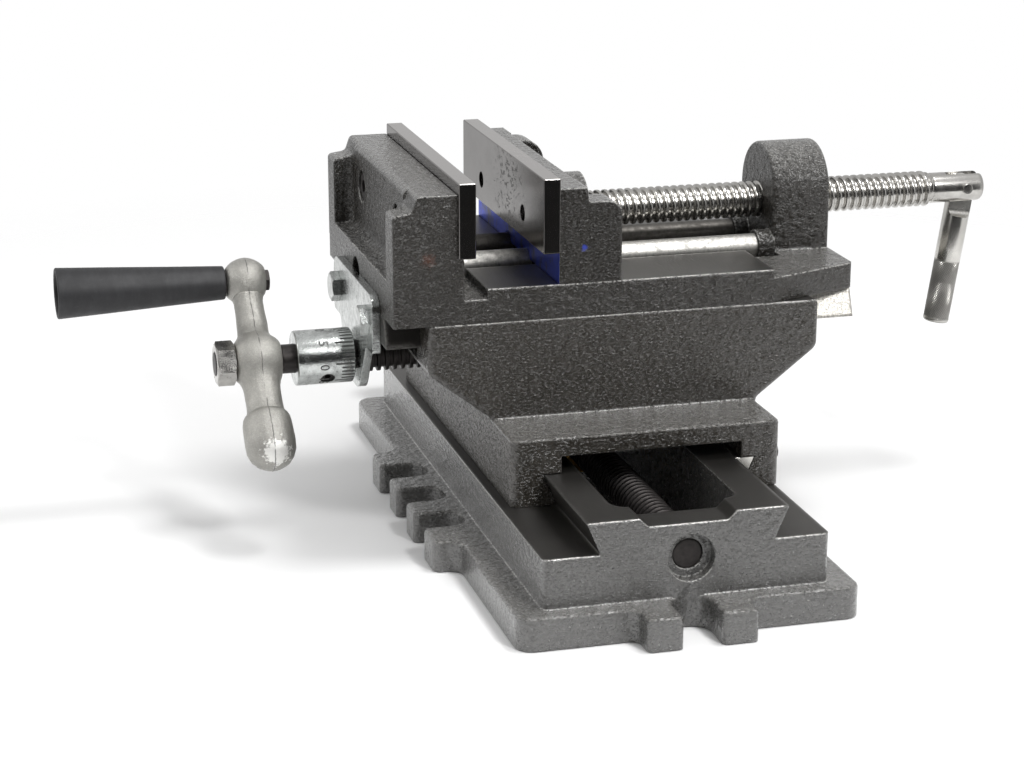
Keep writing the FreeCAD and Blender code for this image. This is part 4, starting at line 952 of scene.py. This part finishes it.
def crank_line():
    """The crank's whole outline, with the hub's sphere and the ball."""
    hub = [-10.5 + (21.9 * k / 18) for k in range(1, 18)]
    ball = [-8.6 + (BALL_RADIUS + 8.6) * k / 22 for k in range(1, 22)]
    return (CRANK_LINE + [(z, (HUB_RADIUS ** 2 - z ** 2) ** 0.5) for z in hub] + NECK_LINE
            + [(ARM + z, (BALL_RADIUS ** 2 - z ** 2) ** 0.5) for z in ball] + [(ARM + BALL_RADIUS, 0.0)])


def squeezed(x, limit, soft=0.9):
    """A place across the crank, held softly within the flats of its bosses."""
    excess = abs(x) - (limit - soft)
    return x if excess <= 0 else (limit - soft + soft * (1 - exp(-excess / soft))) * (1 if x > 0 else -1)


def crank_shape(seed):
    """The cast arm about Z, with flattened bosses, a flash line at the parting plane and a few lumps."""
    line = crank_line()
    steps = 112
    turns = [2 * pi * k / steps - 0.21 * sin(2 * (2 * pi * k / steps)) for k in range(steps)]
    lumps = [(Vector(centre), wide, high) for centre, wide, high in CRANK_LUMPS]
    def point(i, k):
        z, radius = line[i]
        out = Vector((cos(turns[k]), sin(turns[k]), 0))
        x, y = radius * cos(turns[k]), radius * sin(turns[k])
        limit = BALL_WIDTH / 2 if z > 28 else HUB_WIDTH / 2
        if z > -16:
            x = squeezed(x, limit)
        here = Vector((x, y, z))
        if radius > 0.01:
            wave = noise.noise(here * 0.12 + Vector((seed, 0, 0))) * 0.35 + noise.noise(here * 0.45) * 0.12
            flash = 0.38 * exp(-(x / 0.42) ** 2) * (0.65 + 0.5 * noise.noise(here * 0.3))
            bump = sum(high * exp(-((here - centre).length / wide) ** 2) for centre, wide, high in lumps)
            flat = abs(x) > limit - 0.6 and z > -16
            here += out * (wave * (0.3 if flat else 1.0) + flash + (0 if flat else bump))
        return here
    return moved(skin(len(line), steps, point), shift(HUB_PLACE, 0, 0))


GRIP_BOLT = 3.05
GRIP_NUT = (10.0, 3.2)
COUNTERBORE = (6.2, 1.6)


def make_cranks():
    to_ball = shift(0, 0, ARM)
    start, end = HUB_PLACE - HUB_WIDTH, HUB_PLACE + HUB_WIDTH
    low = HUB_PLACE - BALL_WIDTH / 2
    seat = low + COUNTERBORE[1]
    tools = [rod(LEAD_END + 0.05, start, end), moved(rod(GRIP_BOLT, start, end), to_ball),
             moved(rod(COUNTERBORE[0], low - 1, seat), to_ball)]
    foot = HUB_PLACE + HUB_WIDTH / 2
    crank_nut = hexagon(NUT_FLATS, foot, foot + NUT_HEIGHT, LEAD_END + 0.05)
    flats, height = GRIP_NUT
    grip_nut = moved(hexagon(flats, seat - height, seat, GRIP_BOLT, steps=72), to_ball)
    for axis, seed in (("x", 0.0), ("y", 7.3)):
        turn = CRANK_TURN[axis]
        mesh = carved(axis + "_crank_cast", crank_shape(seed), tools, 50)
        on_shaft(axis, "_crank_cast", "_crank", mesh, cast_aluminium(), turn)
        on_shaft(axis, "_crank_hex_nut", "_crank_nut", crank_nut, bright_zinc(), NUT_TURN, 25)
        on_shaft(axis, "_grip_hex_nut", "_grip_nut", grip_nut, black_oxide(), turn, 25)


def make_grips():
    start, end = GRIP_START, GRIP_START + GRIP_LENGTH
    line = eased([(start, GRIP_BORE, 0), (start, 8.2, 1.0), (start + 27, 9.55, 6.0), (start + 54, 11.05, 6.0),
                  (end, 12.45, 0.9), (end, GRIP_HOLLOW, 0.9), (end - 2.5, 9.55, 1.0), (start + 24, 8.6, 0),
                  (start + 24, GRIP_BORE, 0), (start, GRIP_BORE, 0)], 5)
    shape = moved(lathe(line, 96), shift(0, 0, ARM))
    for axis in "xy":
        on_shaft(axis, "_grip_sleeve", "_grip", shape, black_plastic(), CRANK_TURN[axis],
                 body="_grip")


# Bracket bolts, gib screws and lock nuts: M8 with 13 mm across the flats

BOLT_FLATS = 13.0
BOLT_HEAD = 4.5
BOLT_RADIUS = 4.0
BOLT_REACH = 16.0
BOLT_PITCH = 1.25
# For each bracket its body, the distance between its bolts, how high they stand over the shaft and their turns
BRACKET_BOLTS = {"x": ("vise_body", 66.0, 26.0, (8.0, 30.0)), "y": ("base", 56.0, 0.0, (3.0, 25.0))}
LOCK_NUT = 6.5
SOCKET_REACH = 2.3
SOCKET_RIM = 2.35
SOCKET_DEPTH = 4.0


def make_bracket_bolts():
    shank = lathe(eased([(0.0, 0, 0), (0.0, BOLT_RADIUS, 0), (-BOLT_REACH, BOLT_RADIUS, 0.8),
                         (-BOLT_REACH, 0, 0)]), 32)
    bolt = joined(hexagon(BOLT_FLATS, 0.0, BOLT_HEAD, chamfer_low=False), shank)
    for axis, (body, spacing, rise, turns) in BRACKET_BOLTS.items():
        bolts = [moved(bolt, shift(0, side * spacing / 2, rise) @ spin(turn, "X"))
                 for side, turn in zip((-1, 1), turns)]
        place_piece(axis + "_bracket_hex_bolts", joined(*bolts), dull_zinc(), body, [axis + "_bracket_bolts"],
                    shaft_place(axis), 25)


def socket_screw(reach, plain):
    """A grub screw along X with a hexagon socket in its outer end, threaded where it shows."""
    root = BOLT_RADIUS - 0.61 * BOLT_PITCH
    steps = 32
    def socket(i, k):
        wide = flat_reach(SOCKET_REACH * cos(pi / 6), k, steps)
        deep = reach - SOCKET_DEPTH
        return ring(*[(reach, SOCKET_RIM), (reach, wide), (deep, wide), (deep - 0.4, 0)][i], k, steps)
    return joined(lathe([(-plain, 0), (-plain, root), (0.0, root)], steps),
                  thread(0.0, reach - 0.4, BOLT_RADIUS, root, BOLT_PITCH, SHARP_THREAD, steps),
                  lathe(eased([(reach - 0.4, root, 0), (reach, root, 0), (reach, SOCKET_RIM, 0)]), steps),
                  skin(4, steps, socket))


def make_gib_screws():
    nut = hexagon(BOLT_FLATS, 0.0, LOCK_NUT, BOLT_RADIUS + 0.05, chamfer_low=False, steps=72)
    for along, axis in enumerate("xy"):
        across = 1 - along
        low, high = corners(axis + "_gib_screws")
        nut_low, nut_high = corners(axis + "_gib_nuts")
        wall = nut_low[across]
        half = BOLT_FLATS / 2 / cos(pi / 6)
        screw = socket_screw(high[across] - wall, wall - low[across])
        screws, nuts = [], []
        for k in range(4):
            spot = [0.0, 0.0, (low[2] + high[2]) / 2]
            spot[across] = wall
            spot[along] = nut_low[along] + half + (nut_high[along] - nut_low[along] - 2 * half) * k / 3
            place = shift(*spot) @ spin(90 * across, "Z") @ spin(17 + 23 * k, "X")
            screws.append(moved(screw, place))
            nuts.append(moved(nut, place))
        place_piece(axis + "_gib_grub_screws", joined(*screws), black_oxide(), "saddle",
                    [axis + "_gib_screws"], None, 30)
        place_piece(axis + "_gib_hex_nuts", joined(*nuts), dull_zinc(), "saddle",
                    [axis + "_gib_nuts"], None, 25)


# Floor, surround, lamps and camera

CAMERA_PLACE = (-349.4, -1135.5, 426.9)
CAMERA_AZIMUTH = -15.397
CAMERA_DROP = 16.899
CAMERA_ROLL = 0.113
FLOOR_DEPTH = 0.4
DARK_CARD = "#2c2c2c"


def card(name, points, surface, build):
    """A flat stage piece; the shader of its surface comes from build(tree)."""
    material = bpy.data.materials.get(surface) or bpy.data.materials.new(surface)
    material.use_nodes = True
    tree = material.node_tree
    tree.nodes.clear()
    output = tree.nodes.new("ShaderNodeOutputMaterial")
    feed(tree, output.inputs["Surface"], build(tree))
    made = linked(name, bpy.data.meshes.new(name))
    made.data.from_pydata(points, [], [list(range(len(points)))])
    made.data.materials.append(material)
    return made


def pale_floor(tree):
    """White paper that holds the shadow and fades into the white surround."""
    away = add(tree, "VectorMath", own_place(tree), operation="LENGTH")
    paper = add(tree, "BsdfDiffuse", bpy.context.scene.vise_stage.floor)
    return add(tree, "MixShader", add(tree, "MapRange", away, 0.42, 0.8), paper, add(tree, "BsdfTransparent"))


def dark_card(tree):
    return add(tree, "BsdfDiffuse", linear(DARK_CARD))


def bright_strip(tree):
    return add(tree, "Emission", None, bpy.context.scene.vise_stage.strip)


def make_stage():
    scene = bpy.context.scene
    stage = scene.vise_stage
    rise = FLOOR_DEPTH * MM
    low = -rise
    card("floor", [(-3, -3, low), (3, -3, low), (3, 3, low), (-3, 3, low)],
         "Pale floor", pale_floor)
    for name, points, surface, build in (
            ("dark card on the floor", [(-4.0, -0.32, rise), (0.45, -0.32, rise), (2.9, -4.0, rise),
                                        (-4.0, -4.0, rise)], "Dark card", dark_card),
            ("dark card behind the camera", [(-3.5, -2.6, rise), (1.8, -2.6, rise), (1.8, -2.6, 2.0),
                                             (-3.5, -2.6, 2.0)], "Dark card", dark_card),
            ("strip", [(0.0, -1.1, 0.8), (0.7, -1.1, 0.8), (0.7, -0.9, 1.2), (0.0, -0.9, 1.2)],
             "Bright strip", bright_strip)):
        # Only what glossy faces mirror shows these
        put(card(name, points, surface, build), visible_camera=False, visible_diffuse=False,
            visible_transmission=False, visible_shadow=False)

    world = bpy.data.worlds.new("studio")
    scene.world = world
    world.use_nodes = True
    tree = world.node_tree
    path = add(tree, "LightPath").node.outputs
    light = add(tree, "Mix", path["Is Glossy Ray"], stage.surround, stage.gloss)
    seen = add(tree, "Math", path["Is Camera Ray"], path["Is Transmission Ray"], operation="ADD")
    background = tree.nodes["Background"]
    background.inputs["Color"].default_value = (1, 1, 1, 1)
    feed(tree, background.inputs["Strength"], add(tree, "Mix", seen, light, 1.0))

    for name, power, size, place in (("lamp overhead", stage.key, 0.4, (0.4, -0.2, 1.5)),
                                     ("lamp front", stage.front, 0.2, (0.35, -1.0, 1.0)),
                                     ("lamp left", stage.side, 0.7, (-1.3, 0.3, 0.7))):
        lamp = put(bpy.data.lights.new(name, "AREA"), shape="SQUARE", size=size, energy=power)
        toward = Vector((0, 0, 0.1)) - Vector(place)
        put(linked(name, lamp), location=place, rotation_euler=toward.to_track_quat("-Z", "Y").to_euler())

    camera = put(bpy.data.cameras.new("camera"), lens=stage.lens, sensor_width=36.0, clip_start=0.05)
    turn = spin(CAMERA_AZIMUTH, "Z") @ spin(90 - CAMERA_DROP, "X") @ spin(CAMERA_ROLL, "Z")
    scene.camera = put(linked("camera", camera), matrix_world=at(*CAMERA_PLACE) @ turn)
    scene.view_settings.view_transform = "Standard"


class VISE_OT_castings(bpy.types.Operator):
    """Round the castings' edges and give them their enamel"""
    bl_idname = "vise.castings"
    bl_label = "Castings"

    def execute(self, context):
        dress_castings()
        return {"FINISHED"}


class VISE_OT_plates(bpy.types.Operator):
    """Finish the jaw plates, gibs, feed nuts, brackets and their screws"""
    bl_idname = "vise.plates"
    bl_label = "Plates, gibs and brackets"

    def execute(self, context):
        dress_plates()
        return {"FINISHED"}


class VISE_OT_guide_rods(bpy.types.Operator):
    """Build the two ground guide rods"""
    bl_idname = "vise.guide_rods"
    bl_label = "Guide rods"

    def execute(self, context):
        make_guide_rods()
        return {"FINISHED"}


class VISE_OT_vise_screw(bpy.types.Operator):
    """Build the vise screw with its rolled thread, fork and rivet"""
    bl_idname = "vise.vise_screw"
    bl_label = "Vise screw"

    def execute(self, context):
        make_vise_screw()
        return {"FINISHED"}


class VISE_OT_handle(bpy.types.Operator):
    """Build the folding handle with its tang and knurl"""
    bl_idname = "vise.handle"
    bl_label = "Folding handle"

    def execute(self, context):
        make_handle()
        return {"FINISHED"}


class VISE_OT_lead_screws(bpy.types.Operator):
    """Build both threaded lead screws"""
    bl_idname = "vise.lead_screws"
    bl_label = "Lead screws"

    def execute(self, context):
        make_lead_screws()
        return {"FINISHED"}


class VISE_OT_dials(bpy.types.Operator):
    """Build both graduated dials with their set screws and numbers"""
    bl_idname = "vise.dials"
    bl_label = "Dials"

    def execute(self, context):
        make_dials()
        return {"FINISHED"}


class VISE_OT_cranks(bpy.types.Operator):
    """Build both cast crank arms and their nuts"""
    bl_idname = "vise.cranks"
    bl_label = "Cranks"

    def execute(self, context):
        make_cranks()
        return {"FINISHED"}


class VISE_OT_grips(bpy.types.Operator):
    """Build the two hollow plastic grips"""
    bl_idname = "vise.grips"
    bl_label = "Grips"

    def execute(self, context):
        make_grips()
        return {"FINISHED"}


class VISE_OT_bolts(bpy.types.Operator):
    """Build the bracket bolts, gib screws and lock nuts"""
    bl_idname = "vise.bolts"
    bl_label = "Bolts and gib screws"

    def execute(self, context):
        make_bracket_bolts()
        make_gib_screws()
        return {"FINISHED"}


class VISE_OT_stage(bpy.types.Operator):
    """Set up the pale floor, lamps, surround and camera"""
    bl_idname = "vise.stage"
    bl_label = "Stage"

    def execute(self, context):
        make_stage()
        return {"FINISHED"}


OPERATORS = [VISE_OT_castings, VISE_OT_plates, VISE_OT_guide_rods, VISE_OT_vise_screw, VISE_OT_handle,
             VISE_OT_lead_screws, VISE_OT_dials, VISE_OT_cranks, VISE_OT_grips, VISE_OT_bolts, VISE_OT_stage]


class VISE_PT_panel(bpy.types.Panel):
    bl_idname = "VISE_PT_panel"
    bl_label = "Cross Slide Vise"
    bl_space_type = "VIEW_3D"
    bl_region_type = "UI"
    bl_category = "Vise"

    def draw(self, context):
        for group in (context.scene.vise_sizes, context.scene.vise_colours, context.scene.vise_stage):
            box = self.layout.box()
            for name in group.__annotations__:
                box.prop(group, name)
        for operator in OPERATORS:
            self.layout.operator(operator.bl_idname)


GROUPS = [(ViseColours, "vise_colours"), (ViseSizes, "vise_sizes"), (ViseStage, "vise_stage")]


def register():
    for group, name in GROUPS:
        bpy.utils.register_class(group)
        setattr(bpy.types.Scene, name, PointerProperty(type=group))
    for operator in OPERATORS:
        bpy.utils.register_class(operator)
    bpy.utils.register_class(VISE_PT_panel)


def unregister():
    bpy.utils.unregister_class(VISE_PT_panel)
    for operator in reversed(OPERATORS):
        bpy.utils.unregister_class(operator)
    for group, name in reversed(GROUPS):
        delattr(bpy.types.Scene, name)
        bpy.utils.unregister_class(group)


def main():
    register()
    for operator in OPERATORS:
        getattr(bpy.ops.vise, operator.bl_idname.split(".")[1])()


if __name__ == "__main__":
    main()
